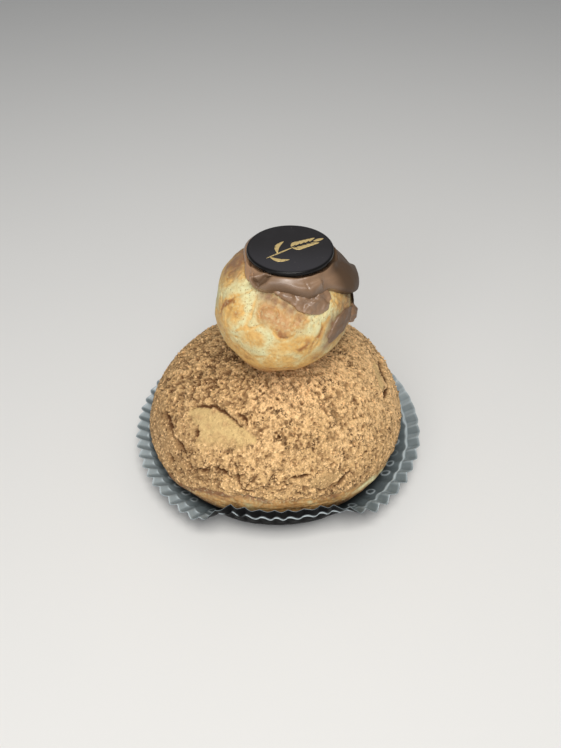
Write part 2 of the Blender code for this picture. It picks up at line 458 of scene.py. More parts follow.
def product(tree, first, second):
    """One value times another."""
    return calculate(tree, "MULTIPLY", first, second)


def remap(tree, value, start, end, low=0.0, high=1.0):
    """low up to start and high from end on, with an S-curve between."""
    inputs = {"Value": value, "From Min": start, "From Max": end, "To Min": low, "To Max": high}
    return add_node(tree, "ShaderNodeMapRange", inputs, interpolation_type="SMOOTHSTEP").outputs["Result"]


def mix_colour(tree, share, first, second, blend_type="MIX"):
    """Mixes two colours, each a socket or (red, green, blue)."""
    inputs = {0: share, 6: first, 7: second}
    return add_node(tree, "ShaderNodeMix", inputs, data_type="RGBA", blend_type=blend_type).outputs[2]


def painted(tree, label):
    """The value of one of the mesh's own masks."""
    return add_node(tree, "ShaderNodeAttribute", attribute_name=label).outputs["Fac"]


def object_place(tree):
    """The point's place in the object, in metres."""
    return add_node(tree, "ShaderNodeTexCoord").outputs["Object"]


def shader_noise(tree, size_mm, detail=2.0, stretch=(1.0, 1.0, 1.0)):
    """Noise with swells about size_mm across, between 0 and 1."""
    scale = tuple(1.0 / (size_mm * MM * axis) for axis in stretch)
    place = add_node(tree, "ShaderNodeMapping", {"Vector": object_place(tree), "Scale": scale})
    inputs = {"Vector": place.outputs[0], "Scale": 1.0, "Detail": detail}
    return add_node(tree, "ShaderNodeTexNoise", inputs).outputs["Fac"]


def new_group(name, inputs, outputs):
    """A shader node group with named sockets; returns it and the sockets inside it."""
    group = bpy.data.node_groups.new(name, "ShaderNodeTree")
    for label, kind in inputs:
        group.interface.new_socket(label, in_out="INPUT", socket_type="NodeSocket" + kind)
    for label, kind in outputs:
        group.interface.new_socket(label, in_out="OUTPUT", socket_type="NodeSocket" + kind)
    return group, group.nodes.new("NodeGroupInput").outputs, group.nodes.new("NodeGroupOutput").inputs


def baked_tone_group():
    """Pale dough turning golden and then brown as it bakes, with slow uneven patches."""
    inputs = [(label, "Color") for label in ("Pale", "Golden", "Brown")]
    inputs += [(label, "Float") for label in ("Bake", "Unevenness")]
    group, given, result = new_group("Baked Tone", inputs, [("Color", "Color")])
    patches = calculate(group, "SUBTRACT", shader_noise(group, 2.6, 4.0), 0.5)
    bake = calculate(group, "ADD", given["Bake"], product(group, patches, given["Unevenness"]))
    golden = mix_colour(group, remap(group, bake, 0.05, 0.5), given["Pale"], given["Golden"])
    brown = mix_colour(group, remap(group, bake, 0.5, 0.98), golden, given["Brown"])
    group.links.new(brown, result["Color"])
    return group


def crumb_grain_group():
    """Grain too fine for the mesh, from cells round scattered points pushed about by noise.

    It gives a height for bump, a tone for each crumb, and masks of the crumbs left out as pores
    and of the crevices between crumbs.
    """
    labels = ("Height", "Tone", "Pore Mask", "Crevice Mask")
    outputs = [(label, "Float") for label in labels]
    group, given, result = new_group("Crumb Grain", [("Size", "Float"), ("Pores", "Float")], outputs)
    scale = calculate(group, "DIVIDE", 1.0 / MM, given["Size"])
    place = object_place(group)
    coarse = add_node(group, "ShaderNodeTexNoise", {"Vector": place, "Scale": scale, "Detail": 3.0}).outputs
    inputs = {0: coarse["Color"], 1: (0.6 * MM, 0.6 * MM, 0.6 * MM)}
    push = add_node(group, "ShaderNodeVectorMath", inputs, operation="MULTIPLY").outputs[0]
    pushed = add_node(group, "ShaderNodeVectorMath", {0: place, 1: push}, operation="ADD").outputs[0]
    inputs = {"Vector": pushed, "Scale": scale}
    cells = add_node(group, "ShaderNodeTexVoronoi", inputs).outputs
    edges = add_node(group, "ShaderNodeTexVoronoi", inputs, feature="DISTANCE_TO_EDGE").outputs
    numbers = add_node(group, "ShaderNodeSeparateColor", {"Color": cells["Color"]}).outputs
    chosen = calculate(group, "LESS_THAN", numbers[0], given["Pores"])
    pores = product(group, remap(group, cells["Distance"], 0.22, 0.36, 1.0, 0.0), chosen)
    crevices = remap(group, edges["Distance"], 0.04, 0.11, 1.0, 0.0)
    height = calculate(group, "SUBTRACT", coarse["Fac"], product(group, pores, 0.5))
    height = calculate(group, "ADD", height, product(group, numbers[1], 0.35))
    for label, value in zip(labels, (height, numbers[1], pores, crevices)):
        group.links.new(value, result[label])
    return group


def use_group(tree, name, inputs):
    """Places a shared group in a material with its own values; it is built on its first use."""
    builders = {"Baked Tone": baked_tone_group, "Crumb Grain": crumb_grain_group}
    node = tree.nodes.new("ShaderNodeGroup")
    node.node_tree = bpy.data.node_groups.get(name) or builders[name]()
    for label, value in inputs.items():
        set_socket(tree, node.inputs[label], value)
    return node.outputs


def new_material(name, **constants):
    """A material with its Principled BSDF, whose constant values are set on the shader itself."""
    material = bpy.data.materials.new(name)
    material.use_nodes = True
    shader = material.node_tree.nodes["Principled BSDF"]
    for label, value in constants.items():
        shader.inputs[label.replace("_", " ")].default_value = value
    return material, material.node_tree, shader


def finish_shader(tree, shader, height, depth_mm, **links):
    """Links sockets to the shader's inputs, and a height between 0 and 1 as relief of that depth."""
    for label, value in links.items():
        tree.links.new(value, shader.inputs[label.replace("_", " ")])
    bump = add_node(tree, "ShaderNodeBump", {"Height": height, "Distance": depth_mm * MM})
    tree.links.new(bump.outputs["Normal"], shader.inputs["Normal"])


def craquelin_material(colours):
    """Sandy baked crust: painted shade down in its gaps, pores and crevices, yellower where it is bald,
    sugar-flecked.
    """
    material, tree, shader = new_material("craquelin", Specular_IOR_Level=0.25, Roughness=0.8)
    crumb = np.array(colours.crust)
    gap = np.array(colours.crust_gap)
    smooth_crust = np.array(colours.crust_bald)
    pale = np.minimum(1.0, crumb * (1.40, 1.46, 1.62))
    brown = blend(crumb, gap, 0.42)
    bake = painted(tree, "bake")
    tone = {"Pale": pale, "Golden": crumb, "Brown": brown, "Bake": bake, "Unevenness": 0.32}
    base = use_group(tree, "Baked Tone", tone)["Color"]
    grain = use_group(tree, "Crumb Grain", {"Size": 0.42, "Pores": 0.32})
    base = mix_colour(tree, remap(tree, grain["Tone"], 0.60, 1.0), base, pale)
    base = mix_colour(tree, remap(tree, grain["Tone"], 0.42, 0.0, 0.0, 0.60), base, brown)
    smear = remap(tree, shader_noise(tree, 2.0, 5.0), 0.40, 0.80)
    smeared = mix_colour(tree, smear, smooth_crust * (1.12, 1.14, 1.16), brown * 1.15)
    base = mix_colour(tree, product(tree, painted(tree, "bald"), 0.80), base, smeared)

    crumbly = remap(tree, painted(tree, "bald"), 0.0, 0.6, 1.0, 0.05)
    lumps = use_group(tree, "Crumb Grain", {"Size": 0.95, "Pores": 0.24})
    broken = remap(tree, shader_noise(tree, 1.9, 3.0), 0.52, 0.62)
    crevices = product(tree, lumps["Crevice Mask"], broken)
    spread = product(tree, remap(tree, shader_noise(tree, 5.0, 2.0), 0.40, 0.60, 0.25, 1.0), crumbly)
    holes = product(tree, calculate(tree, "MAXIMUM", lumps["Pore Mask"], crevices), spread)
    # Painted shade: fine pores, crevices, holes and the mesh's gap mask darken the colour towards the dark
    # gap colour.
    fine = product(tree, grain["Pore Mask"], 0.5)
    dark = product(tree, calculate(tree, "MAXIMUM", fine, product(tree, holes, 0.95)), crumbly)
    dark = calculate(tree, "MAXIMUM", dark, painted(tree, "gap"), limit=True)
    base = mix_colour(tree, dark, base, gap)
    pitted = calculate(tree, "SUBTRACT", grain["Height"], product(tree, holes, 0.8))
    finish_shader(tree, shader, pitted, 0.38, Base_Color=base)
    return material


def choux_material(name, colours, golden, brown):
    """Thin baked skin: pale dough with golden and brown patches, small pores and a dull shine."""
    material, tree, shader = new_material(name, Specular_IOR_Level=0.35)
    pale = colours.dough_pale
    bake = painted(tree, "bake")
    tone = {"Pale": pale, "Golden": golden, "Brown": brown, "Bake": bake, "Unevenness": 0.36}
    base = use_group(tree, "Baked Tone", tone)["Color"]
    base = mix_colour(tree, painted(tree, "blush"), base, colours.dough_blush)
    grain = use_group(tree, "Crumb Grain", {"Size": 0.5, "Pores": 0.35})
    pore = product(tree, grain["Pore Mask"], painted(tree, "pores"))
    base = mix_colour(tree, product(tree, pore, 0.62), base, brown)
    base = mix_colour(tree, remap(tree, grain["Tone"], 0.6, 1.0, 0.0, 0.30), base, pale)
    mottle = remap(tree, shader_noise(tree, 0.8, 5.0), 0.35, 0.68, 0.0, 0.32)
    base = mix_colour(tree, mottle, base, golden, "MULTIPLY")
    base = mix_colour(tree, painted(tree, "stain"), base, np.array(colours.icing) * (1.15, 1.08, 1.0))
    rough = remap(tree, bake, 0.0, 1.0, 0.62, 0.45)
    finish_shader(tree, shader, grain["Height"], 0.11, Base_Color=base, Roughness=rough)
    return material


def icing_material(colours):
    """Set chocolate fondant: milk-chocolate brown with a broad soft sheen and faint streaks."""
    material, tree, shader = new_material("chocolate_icing", Coat_Roughness=0.30)
    brown = np.array(colours.icing)
    streaks = remap(tree, shader_noise(tree, 1.6, 3.0, (2.5, 2.5, 0.8)), 0.3, 0.7)
    base = mix_colour(tree, streaks, brown * 0.9, brown * 1.1)
    # Lighter where the icing is thin at its hem and at the runs' rims, and with a painted sheen on the
    # curtain at the left.
    base = mix_colour(tree, painted(tree, "thin"), base, brown * (2.1, 1.95, 1.75))
    # Painted shade: the thick mask darkens the brown and dulls its sheen at the right, in the fold's slit,
    # under the front roll and over the runs by their darkness.
    dark = painted(tree, "thick")
    base = mix_colour(tree, dark, base, brown * 0.36)
    cloudy = shader_noise(tree, 2.2, 3.0)
    rough = calculate(tree, "ADD", remap(tree, cloudy, 0.3, 0.7, 0.36, 0.44), product(tree, dark, 0.12))
    coat = product(tree, remap(tree, cloudy, 0.35, 0.65, 0.60, 0.30), remap(tree, dark, 0.0, 1.0, 1.0, 0.1))
    shine = remap(tree, dark, 0.0, 1.0, 0.5, 0.15)
    finish_shader(tree, shader, shader_noise(tree, 0.9, 3.0), 0.03, Base_Color=base, Roughness=rough,
                  Coat_Weight=coat, Specular_IOR_Level=shine)
    return material


def dark_chocolate_material(colours):
    """Tempered dark chocolate: smooth and satin, painted nearly black at its rim as shade and lighter at
    the front of its face as a reflection, with a few dust flecks.
    """
    material, tree, shader = new_material("dark_chocolate", Specular_IOR_Level=0.2)
    dark = np.array(colours.disc)
    rim = painted(tree, "rim")
    mottle = remap(tree, shader_noise(tree, 3.0, 4.0), 0.35, 0.75)
    base = mix_colour(tree, mottle, dark * 0.8, dark * 0.9)
    # Painted reflection: lighter towards the front of the face.
    base = mix_colour(tree, painted(tree, "bloom"), base, dark * (1.45, 1.5, 1.6))
    dust = remap(tree, shader_noise(tree, 0.35, 1.0), 0.77, 0.82)
    base = mix_colour(tree, product(tree, dust, 0.45), base, (0.35, 0.30, 0.26))
    # Painted shade: nearly black at the rounded rim.
    base = mix_colour(tree, rim, base, dark * 0.2)
    rough = remap(tree, rim, 0.0, 1.0, 0.42, 0.30)
    finish_shader(tree, shader, shader_noise(tree, 0.5, 2.0), 0.012, Base_Color=base, Roughness=rough)
    return material


def gold_material(colours):
    """Gold cocoa-butter print, rubbed away in places so that the dark chocolate shows."""
    material, tree, shader = new_material("gold_print", Specular_IOR_Level=0.5)
    worn = remap(tree, shader_noise(tree, 0.7, 3.0), 0.60, 0.70)
    mottle = remap(tree, shader_noise(tree, 0.4, 2.0), 0.3, 0.7)
    gold = np.array(colours.gold)
    base = mix_colour(tree, mottle, gold * 0.82, gold)
    base = mix_colour(tree, worn, base, colours.disc)
    tree.links.new(base, shader.inputs["Base Color"])
    tree.links.new(remap(tree, worn, 0.0, 1.0, 0.45, 0.0), shader.inputs["Metallic"])
    tree.links.new(remap(tree, mottle, 0.0, 1.0, 0.5, 0.38), shader.inputs["Roughness"])
    return material


def paper_materials(colours):
    """The case's glossy black outside and its pale laminated inside."""
    inside, tree, shader = new_material("case_inside", Specular_IOR_Level=0.5)
    pale = np.array(colours.case_inside)
    grease = remap(tree, shader_noise(tree, 2.0, 4.0), 0.3, 0.72)
    base = mix_colour(tree, grease, pale * 0.82, pale)
    # Painted shade deep down by the bun.
    base = mix_colour(tree, painted(tree, "deep"), base, pale * 0.32)
    # Painted highlights on the folds' lit flanks, the crease bead, the loops and the rim.
    base = mix_colour(tree, painted(tree, "fold"), base, np.minimum(1.0, pale * 2.7 + 0.20))
    rough = remap(tree, grease, 0.0, 1.0, 0.38, 0.28)
    finish_shader(tree, shader, shader_noise(tree, 0.5, 3.0), 0.03, Base_Color=base, Roughness=rough)

    outside, tree, shader = new_material("case_outside", Specular_IOR_Level=0.01)
    black = np.array(colours.case_outside)
    scuff = remap(tree, shader_noise(tree, 1.5, 4.0), 0.35, 0.75)
    base = mix_colour(tree, scuff, black, black * 1.6 + 0.002)
    # Painted highlight along the crease and the rim on the black outside.
    base = mix_colour(tree, painted(tree, "fold"), base, np.minimum(1.0, pale * 2.2 + 0.3))
    rough = remap(tree, scuff, 0.0, 1.0, 0.30, 0.42)
    finish_shader(tree, shader, shader_noise(tree, 0.5, 3.0), 0.02, Base_Color=base, Roughness=rough)
    return outside, inside


def floor_material(colours):
    """Pale, matt studio floor with a hardly visible mottle."""
    material, tree, shader = new_material("floor", Specular_IOR_Level=0.2, Roughness=0.85)
    pale = np.array(colours.floor)
    base = mix_colour(tree, shader_noise(tree, 60.0, 2.0), pale * 0.985, pale)
    tree.links.new(base, shader.inputs["Base Color"])
    return material


# ---------------------------------------------------------------- paper case

# Columns of the grid for each pleat, and the rings of the flat base as shares of its radius.
COLUMNS_PER_PLEAT = 14
BASE_SHARES = (0.2, 0.7)


def case_wall(azimuth, climb):
    """Middle of the wall as radius and height, its normal, how far it is flared, and its stretch.

    climb runs 0 to 3 from the flat base's edge past the bend and the crease to the rim, in straight
    stretches between corners that move from the upright to the flared outline round the case. The
    last value is the length of the stretch that a point is on.
    """
    degrees = wrapped(np.degrees(azimuth))
    right = smooth(*CASE_RIGHT_TURN, np.abs(degrees))
    left = smooth(*CASE_LEFT_TURN, np.abs(degrees))
    flare = np.where(degrees > 0.0, right, left)
    corners = blend(np.array(CASE_UPRIGHT)[:, None, :], np.array(CASE_FLARED)[:, None, :], flare[:, None])
    index = np.minimum(climb.astype(int), 2)
    share = (climb - index)[:, None, None]
    place = blend(corners[index], corners[index + 1], share)
    run = corners[index + 1] - corners[index]
    length = np.linalg.norm(run, axis=-1, keepdims=True)
    normal = np.stack((run[..., 1], -run[..., 0]), axis=-1) / length
    return place, normal, flare, length[..., 0]


def case_grid(sizes):
    """The case as one closed shell: its outer face up to the rim, then its inner face back down.

    The folds are a rounded triangle wave along the wall's normal. They start at the flutes' round
    ends and deepen to the rim; a rolled bead runs along the crease below it. Returns the points,
    two masks, of painted highlights on the folds and of painted shade in the depth, and the number
    of the rim's row.
    """
    columns = sizes.pleats * COLUMNS_PER_PLEAT
    azimuth = round_azimuths(columns)
    outer = stretches((0.0, 1.2, 6), (1.3, 1.85, 7), (1.9, 2.14, 7), (2.2, 3.0, 7))
    inner = stretches((3.0, 2.3, 8), (2.24, 1.84, 12), (1.79, 1.12, 17), (1.0, 0.0, 6))
    climb = np.concatenate((outer, inner))
    side = np.concatenate((np.ones(len(outer)), -np.ones(len(inner))))[:, None]
    place, normal, flare, length = case_wall(azimuth, climb)

    # Folds, their depth calmed where the wall is pressed flat, and how they grow with the climb.
    circle = turned_point(38.0, azimuth, np.zeros(columns))
    turn = azimuth / math.tau * sizes.pleats + 1.1 * np.sin(azimuth + 1.25) + 0.16 * noise(circle, 7.0, 1)
    sharpness = 0.97
    wave = np.arcsin(-sharpness * np.cos(math.tau * (turn + 0.04 * np.sin(math.tau * turn))))
    wave = wave / math.asin(sharpness)
    degrees = np.degrees(azimuth)
    flattened = 1.0 - 0.7 * np.exp(-((degrees - 98.0) / 26.0) ** 2)
    uneven = (1.0 + 0.55 * noise(circle, 5.0, 2)) * flattened
    left = smooth(-25.0, -50.0, degrees) * smooth(-165.0, -130.0, degrees)
    depth = blend(0.6, 1.0, flare) * sizes.pleat_depth / MM * uneven * (1.0 - 0.65 * left)
    level = climb[:, None]
    calm = smooth(20.0, 60.0, degrees) * smooth(150.0, 120.0, degrees)
    growth = 0.10 * np.minimum(level, 1.4) / 1.4 + blend(0.42, 0.12, calm) * smooth(1.38, 1.62, level)
    growth = growth + 0.16 * (level / 3.0) ** 2 + blend(0.32, 0.62, calm) * smooth(1.95, 2.5, level)
    fold = wave * depth * growth

    # The bead rolled along the crease, and the loop at each pleat's foot as a ring.
    slant = blend(0.13, 0.03, calm) * np.sin(math.tau * turn) + 0.10 * calm * noise(circle, 4.0, 7)
    bead = np.exp(-(((level - CASE_CREASE - slant) * length / np.where(side < 0.0, 0.36, 0.28)) ** 2))
    pleat = np.floor(turn + 0.5)
    across = (turn - pleat) * math.tau * 34.0 / sizes.pleats
    along = (level - CASE_LOOPS) * length
    pleat_cell = np.stack((pleat, pleat * 0, pleat * 0), axis=-1)
    strength = smooth(0.05, 0.35, cell_random(pleat_cell, 5)) * flare
    ring = np.hypot(across / 0.85, along / blend(1.0, 1.6, cell_random(pleat_cell, 6)))
    loop = np.exp(-(((ring - 1.0) / 0.17) ** 2)) * strength

    # Both faces of the paper, and the flat base.
    paper = 0.5 * sizes.paper / MM
    bulge = side * (paper + 0.16 * bead) + np.where(side < 0.0, -0.10 * loop, 0.0)
    edge = np.where(level > 2.99, 0.6, 1.0)
    middle = place + normal * (fold + bulge * edge)[..., None]
    outward = blend(0.24, 0.42, left) * wave * uneven * smooth(1.9, 3.0, level) * flare
    radius = middle[..., 0] + 0.13 * level * np.sin(azimuth) + outward
    wobble = (0.35 * noise(circle, 16.0, 3) + 0.12 * noise(circle, 5.0, 4)) * (level / 3.0) ** 2
    height = middle[..., 1] + wobble
    wall = turned_point(radius, azimuth, height)
    floor = 2.0 * paper
    base_rows = [turned_point(np.full(columns, part * 25.0), azimuth, np.zeros(columns))
                 for part in BASE_SHARES]
    top_rows = [row + (0.0, 0.0, floor) for row in reversed(base_rows)]
    wall[0, :, 2] = 0.0
    wall[-1, :, 2] = floor
    grid = np.concatenate((np.stack(base_rows), wall, np.stack(top_rows)))
    grid[..., 2] = np.maximum(grid[..., 2], 0.0)

    # Masks: painted highlights on the folds' lit flanks, the crease bead, the loops, the rim and a shine at
    # the right, and painted shade deep down by the bun.
    side_lit = np.cos(math.tau * (turn - 0.3))
    lit = blend(0.1 + 0.9 * np.maximum(0.0, side_lit), 0.9, calm)
    rim = 0.25 * smooth(2.8, 3.0, level) * blend(0.1, 1.0, flare)
    facet = 0.10 + 0.26 * smooth(-0.25, 0.25, np.sin(math.tau * (turn + 0.1)))
    facet = facet * smooth(1.8, 2.3, level)
    low_left = smooth(-20.0, -40.0, degrees) * smooth(-95.0, -65.0, degrees)
    facet = facet + 0.16 * low_left * smooth(1.5, 2.1, level)
    facet = facet + 0.26 * np.exp(-((degrees - 112.0) / 14.0) ** 2) * smooth(1.5, 2.2, level)
    inside = np.maximum(np.maximum(bead * lit, 0.9 * loop), facet)
    stroke = blend(smooth(-0.3, 0.7, side_lit), 1.0, smooth(-14.0, -6.0, degrees))
    folds = np.where(side < 0.0, inside, np.minimum(1.0, 1.3 * bead) * stroke) + rim
    # Painted shade: darker deep down by the bun.
    deep = np.where(side < 0.0, 1.0 - smooth(1.0, 1.95, level + 0.35 * low_left), 0.0)
    pad = np.zeros((len(BASE_SHARES), columns))
    folds = np.concatenate((pad, folds, pad))
    deep = np.concatenate((pad, deep, pad + 1.0))
    return grid, folds, deep, len(outer) + len(pad)


def add_paper_case(settings):
    """The paper case: glossy black outside, and its pale lining from the rim's row inwards."""
    grid, folds, deep, rim_row = case_grid(settings.case)
    materials = paper_materials(settings.colours)
    case = add_grid("paper_case", grid, materials, fold=folds, deep=deep)
    columns = grid.shape[1]
    slots = np.zeros(len(case.data.polygons), np.int32)
    slots[(rim_row - 1) * columns:(len(grid) - 1) * columns] = 1
    slots[-columns:] = 1
    case.data.polygons.foreach_set("material_index", slots)
    return case


# ---------------------------------------------------------------- large bun

# The crust's grid, the level where the small bun sits on it, and how its lowest rows round off.
CRUST_COLUMNS = 684
CRUST_ROWS = 132
CRUST_SEAT = 79.5
CRUST_ROUNDING = (0.15, 0.55, 0.80, 0.94)
# Columns and rows of the skin that shows below the crust's edge.
SKIN_COLUMNS = 640
SKIN_ROWS = 44
# Lower edge of the crust: (azimuth, level) in degrees.
CRUST_EDGE = (
    (-170, -7), (-140, -8), (-112, -8), (-85, -9), (-68, -8), (-59, -7), (-50, -4), (-42, -1), (-35, 3),
    (-28, 8), (-18, 9), (-4, 10.5), (9, 10.5), (22, 8.5), (35, 6), (48, 3.5), (62, 1), (80, -1),
    (105, -4), (135, -6),
)
# Where the crust is coarse and where it is calm, as swellings.
CRUST_COARSE = (
    (1.0, -80, 46, 52, 17), (0.4, -80, 26, 30, 12), (0.7, -40, 28, 16, 8), (0.30, 0, 30, 62, 12),
    (0.5, 150, 50, 45, 20),
)
CRUST_CALM = (
    (0.5, 76, 20, 30, 22), (0.45, -160, 50, 20, 15), (0.9, -60, 22, 16, 12), (0.6, -38, 12, 28, 6),
)
# Where the crust is browner and where paler, as swellings; the paler ones at the front top and the upper
# left are painted light that lifts the small bun's shade.
CRUST_BAKED = (
    (0.3, 34, 24, 16, 9), (-0.34, 0, 45, 66, 12), (-0.40, -72, 40, 46, 15), (0.34, -48, 24, 16, 12),
)
# The crust's bald patches, as lines with half widths in millimetres.
BALD_LINE = ((-56, 39.5), (-48, 41), (-41, 40.5), (-32, 42), (-24, 41.5), (-16, 42))
BALD_WIDTHS = (1.2, 3.0, 4.0, 3.0, 2.2, 1.0)
TORN_LINE = ((92, 45.5), (85, 43), (78, 40))
TORN_WIDTHS = (1.0, 1.5, 1.0)
# Smooth flap of crust that has slid down at the right of the front.
FLAP_LINE = ((16, 20), (21, 19.5), (28, 19))
FLAP_WIDTHS = (1.3, 2.1, 1.7)
# Cracks through the crust: (depth, half width, corners as azimuth and level).
CRUST_CRACKS = (
    (1.0, 0.50, ((-58, 39), (-57, 42), (-53, 45), (-49, 47.5), (-42, 48.5), (-34, 48), (-28, 46.5),
                 (-22, 46))),
    (2.1, 1.10, ((-73, 24.5), (-68, 24), (-64, 24), (-60, 23), (-56, 21.5))),
    (1.5, 0.80, ((-54, 22.5), (-51, 22), (-48, 21), (-45, 20.5))),
    (1.2, 0.60, ((-48, 36), (-46, 33), (-44, 28))),
    (1.1, 0.55, ((-42.5, 18.5), (-41, 16.5), (-38.5, 15))),
    (1.1, 0.50, ((-37, 16.5), (-33, 18.5), (-30.5, 19.5))),
    (1.2, 0.60, ((-29, 22.5), (-26, 22.5), (-23, 21.5), (-21, 21.5))),
    (0.9, 0.40, ((-18, 26), (-17, 22), (-15, 18), (-15, 16))),
    (1.0, 0.45, ((-15, 16), (-12, 15), (-8, 14.5))),
    (0.8, 0.45, ((-12, 17), (-10, 21.5), (-8, 27))),
    (1.0, 0.60, ((-31, 51), (-26, 50), (-22, 48.5))),
    (0.8, 0.50, ((-23, 28.5), (-22, 31.5))),
    (0.9, 0.50, ((-33, 11.5), (-30, 11))),
    (0.9, 0.45, ((-20, 8), (-14, 10.5), (-10, 11.5), (-5, 11.5))),
    (1.0, 0.55, ((5, 24), (10, 24.5), (15, 25))),
    (1.9, 0.75, ((19, 14), (24, 14.5), (28, 15.5), (31, 17), (33, 19.5), (34, 21))),
    (1.5, 1.30, ((105, 39), (98, 39), (92, 37.5), (87, 35.5), (84, 33))),
    (1.2, 0.80, ((84, 33), (79, 35), (74, 36.5), (71, 35))),
    (1.0, 0.60, ((-79, 38), (-80, 31), (-78, 25))),
    (1.0, 0.50, ((-88, 33), (-92, 27), (-90, 20))),
    (0.9, 0.50, ((-86, 46), (-80, 44), (-76, 47))),
    (1.0, 0.55, ((-68, 45), (-64, 42), (-60, 44))),
    (0.8, 0.55, ((118, 20), (128, 26), (140, 24), (150, 29))),
    (0.9, 0.60, ((-150, 30), (-139, 25), (-128, 27), (-118, 22))),
    (0.7, 0.50, ((172, 45), (180, 36), (176, 28))),
)
# Deep pits: (depth, azimuth, level, radius).
CRUST_PITS = (
    (1.4, -52, 10, 1.5), (1.0, -40, 15, 0.8), (0.8, -27, 7, 0.8), (1.0, -46, 33, 1.1), (0.9, -84, 40, 0.8),
    (0.9, -70, 48, 0.8), (0.9, -95, 36, 0.8), (0.9, -66, 55, 0.9), (0.8, 41, 34, 0.55), (0.7, 55, 39, 0.5),
    (0.8, 57, 15, 0.55), (0.6, 45, 22, 0.5), (0.8, 80, 54, 0.6), (0.8, 148, 38, 0.9), (0.7, -132, 40, 0.9),
)


def crust_edge(azimuth):
    """Level of the crust's lower edge, in radians, with crumbly notches."""
    circle = turned_point(LARGE_RADIUS, azimuth, np.zeros_like(azimuth))
    ragged = 1.2 * noise(circle, 2.4, 41) + 1.1 * noise(circle, 1.0, 42)
    return np.radians(closed_curve(np.degrees(azimuth), CRUST_EDGE) + ragged)


def on_line(points, corners, widths, start=0.75, end=1.15):
    """1 on a line of (azimuth, level) corners on the large bun, 0 beyond its half widths."""
    return 1.0 - smooth(start, end, line_reach(points, on_bun(large_surface, corners), widths))


def crust_relief(azimuth, level, points, sizes):
    """Height of the crust's crumbs in millimetres, and masks of painted shade in its gaps, of bald places
    and of tone.

    Each crumb stands at its own height. Crevices follow the borders between lumps and between
    crumbs, and are broken off where a noise is low. Holes and pits are lumps and crumbs that are
    missing. Cracks, deep pits and the bald places are drawn over that.
    """
    degrees = wrapped(np.degrees(azimuth))
    coarse = np.clip(swelling(azimuth, level, CRUST_COARSE) + 0.3 * noise(points, 7.0, 51), 0.0, 1.0)
    calm = np.clip(swelling(azimuth, level, CRUST_CALM), 0.0, 1.0)
    ragged = shaken(points, 1.0, 0.36, 52)
    rough = shaken(shaken(points, 2.6, 0.8, 55), 0.9, 0.34, 58)

    # Lumps and crumbs, the crevices between them, and the holes and pits where some are missing.
    clump = noise(rough, sizes.clump / MM, 61)
    border, lump_number = grains(rough, 1.7, 62)
    cleft = smooth(0.30, 0.08, border) * smooth(-0.05, 0.20, noise(points, 1.7, 63) + 0.45 * coarse - 0.24)
    border, crumb_number = grains(ragged, sizes.crumb / MM, 64)
    short = smooth(0.26, 0.06, border) * smooth(0.05, 0.30, noise(points, 1.2, 65) + 0.1 * coarse)
    chosen = crumb_number - 0.89 + 0.05 * coarse - 0.06 * calm
    pits = smooth(0.0, 0.02, chosen) * smooth(0.0, 0.30, border)
    holes = smooth(0.0, 0.03, lump_number - 0.99 + 0.16 * coarse) * smooth(0.05, 0.35, border)
    fine = noise(points, 0.62, 70)

    wear = 1.0 - 0.75 * calm
    relief = sizes.relief / MM
    height = relief * wear * (
        0.38 * (crumb_number - 0.5) * (1.0 - pits)
        + blend(0.22, 1.05, coarse) * clump
        - blend(0.8, 1.2, coarse) * cleft
        - 0.5 * short
        - 0.9 * pits
        - 1.3 * holes
        + 0.30 * fine
    )
    # Painted shade: dark down in the clefts, short crevices, pits and holes.
    gaps = np.maximum(blend(0.55, 0.9, coarse) * cleft, np.maximum(0.8 * pits, holes))
    gaps = wear * np.maximum(gaps, 0.5 * short)

    # Bald and torn places, the flap, and the thinner edge.
    line_degrees, line_levels = zip(*BALD_LINE)
    above = smooth(-2.0, 2.0, np.degrees(level) - np.interp(degrees, line_degrees, line_levels))
    bald = on_line(shaken(points, 2.2, 0.5, 71), BALD_LINE, BALD_WIDTHS, blend(0.45, 0.9, above),
                   blend(1.9, 1.12, above))
    torn = on_line(ragged, TORN_LINE, TORN_WIDTHS, 0.6, 1.3)
    flap = on_line(ragged, FLAP_LINE, FLAP_WIDTHS, 0.6, 1.2)
    near_edge = 1.0 - smooth(0.0, math.radians(5.0), level - crust_edge(azimuth))
    left_edge = smooth(-75.0, -60.0, degrees) * smooth(-24.0, -36.0, degrees)
    near_edge = near_edge * blend(0.35, 0.8, left_edge)
    still = (1.0 - 0.85 * np.maximum(bald, 0.85 * torn)) * (1.0 - 0.8 * flap) * (1.0 - near_edge)
    height = height * still - 0.45 * bald - 0.25 * torn + 0.25 * flap
    gaps = gaps * still

    # Cracks and deep pits with painted shade down in them, and the shallow seat under the small bun with
    # less of it.
    jagged = shaken(shaken(points, 2.4, 0.45, 74), 0.8, 0.28, 77)
    for depth, width, corners in CRUST_CRACKS:
        crack = groove(jagged, large_surface, corners, width)
        height = height - 1.1 * depth * crack
        gaps = np.maximum(gaps, min(1.0, depth) * smooth(0.15, 0.65, crack))
    for depth, middle, middle_level, radius in CRUST_PITS:
        hole = spots(jagged, large_surface, [(1.0, middle, middle_level, radius)])
        height = height - depth * hole
        gaps = np.maximum(gaps, min(1.0, depth) * hole ** 1.5)
    under_bun = smooth(math.radians(68.0), math.radians(75.0), level)
    height = np.maximum(height, blend(-1.5, -0.25, under_bun))
    gaps = gaps * (1.0 - 0.7 * under_bun)
    # Tone: random for each crumb and browner on the flap; paler on high crumbs and browner in low places is
    # painted light and shade.
    tone = 0.20 * (crumb_number - 0.5) * still - 0.28 * height + 0.5 * flap
    return height, gaps, np.maximum(np.maximum(bald, 0.8 * torn), 0.25 * flap), tone


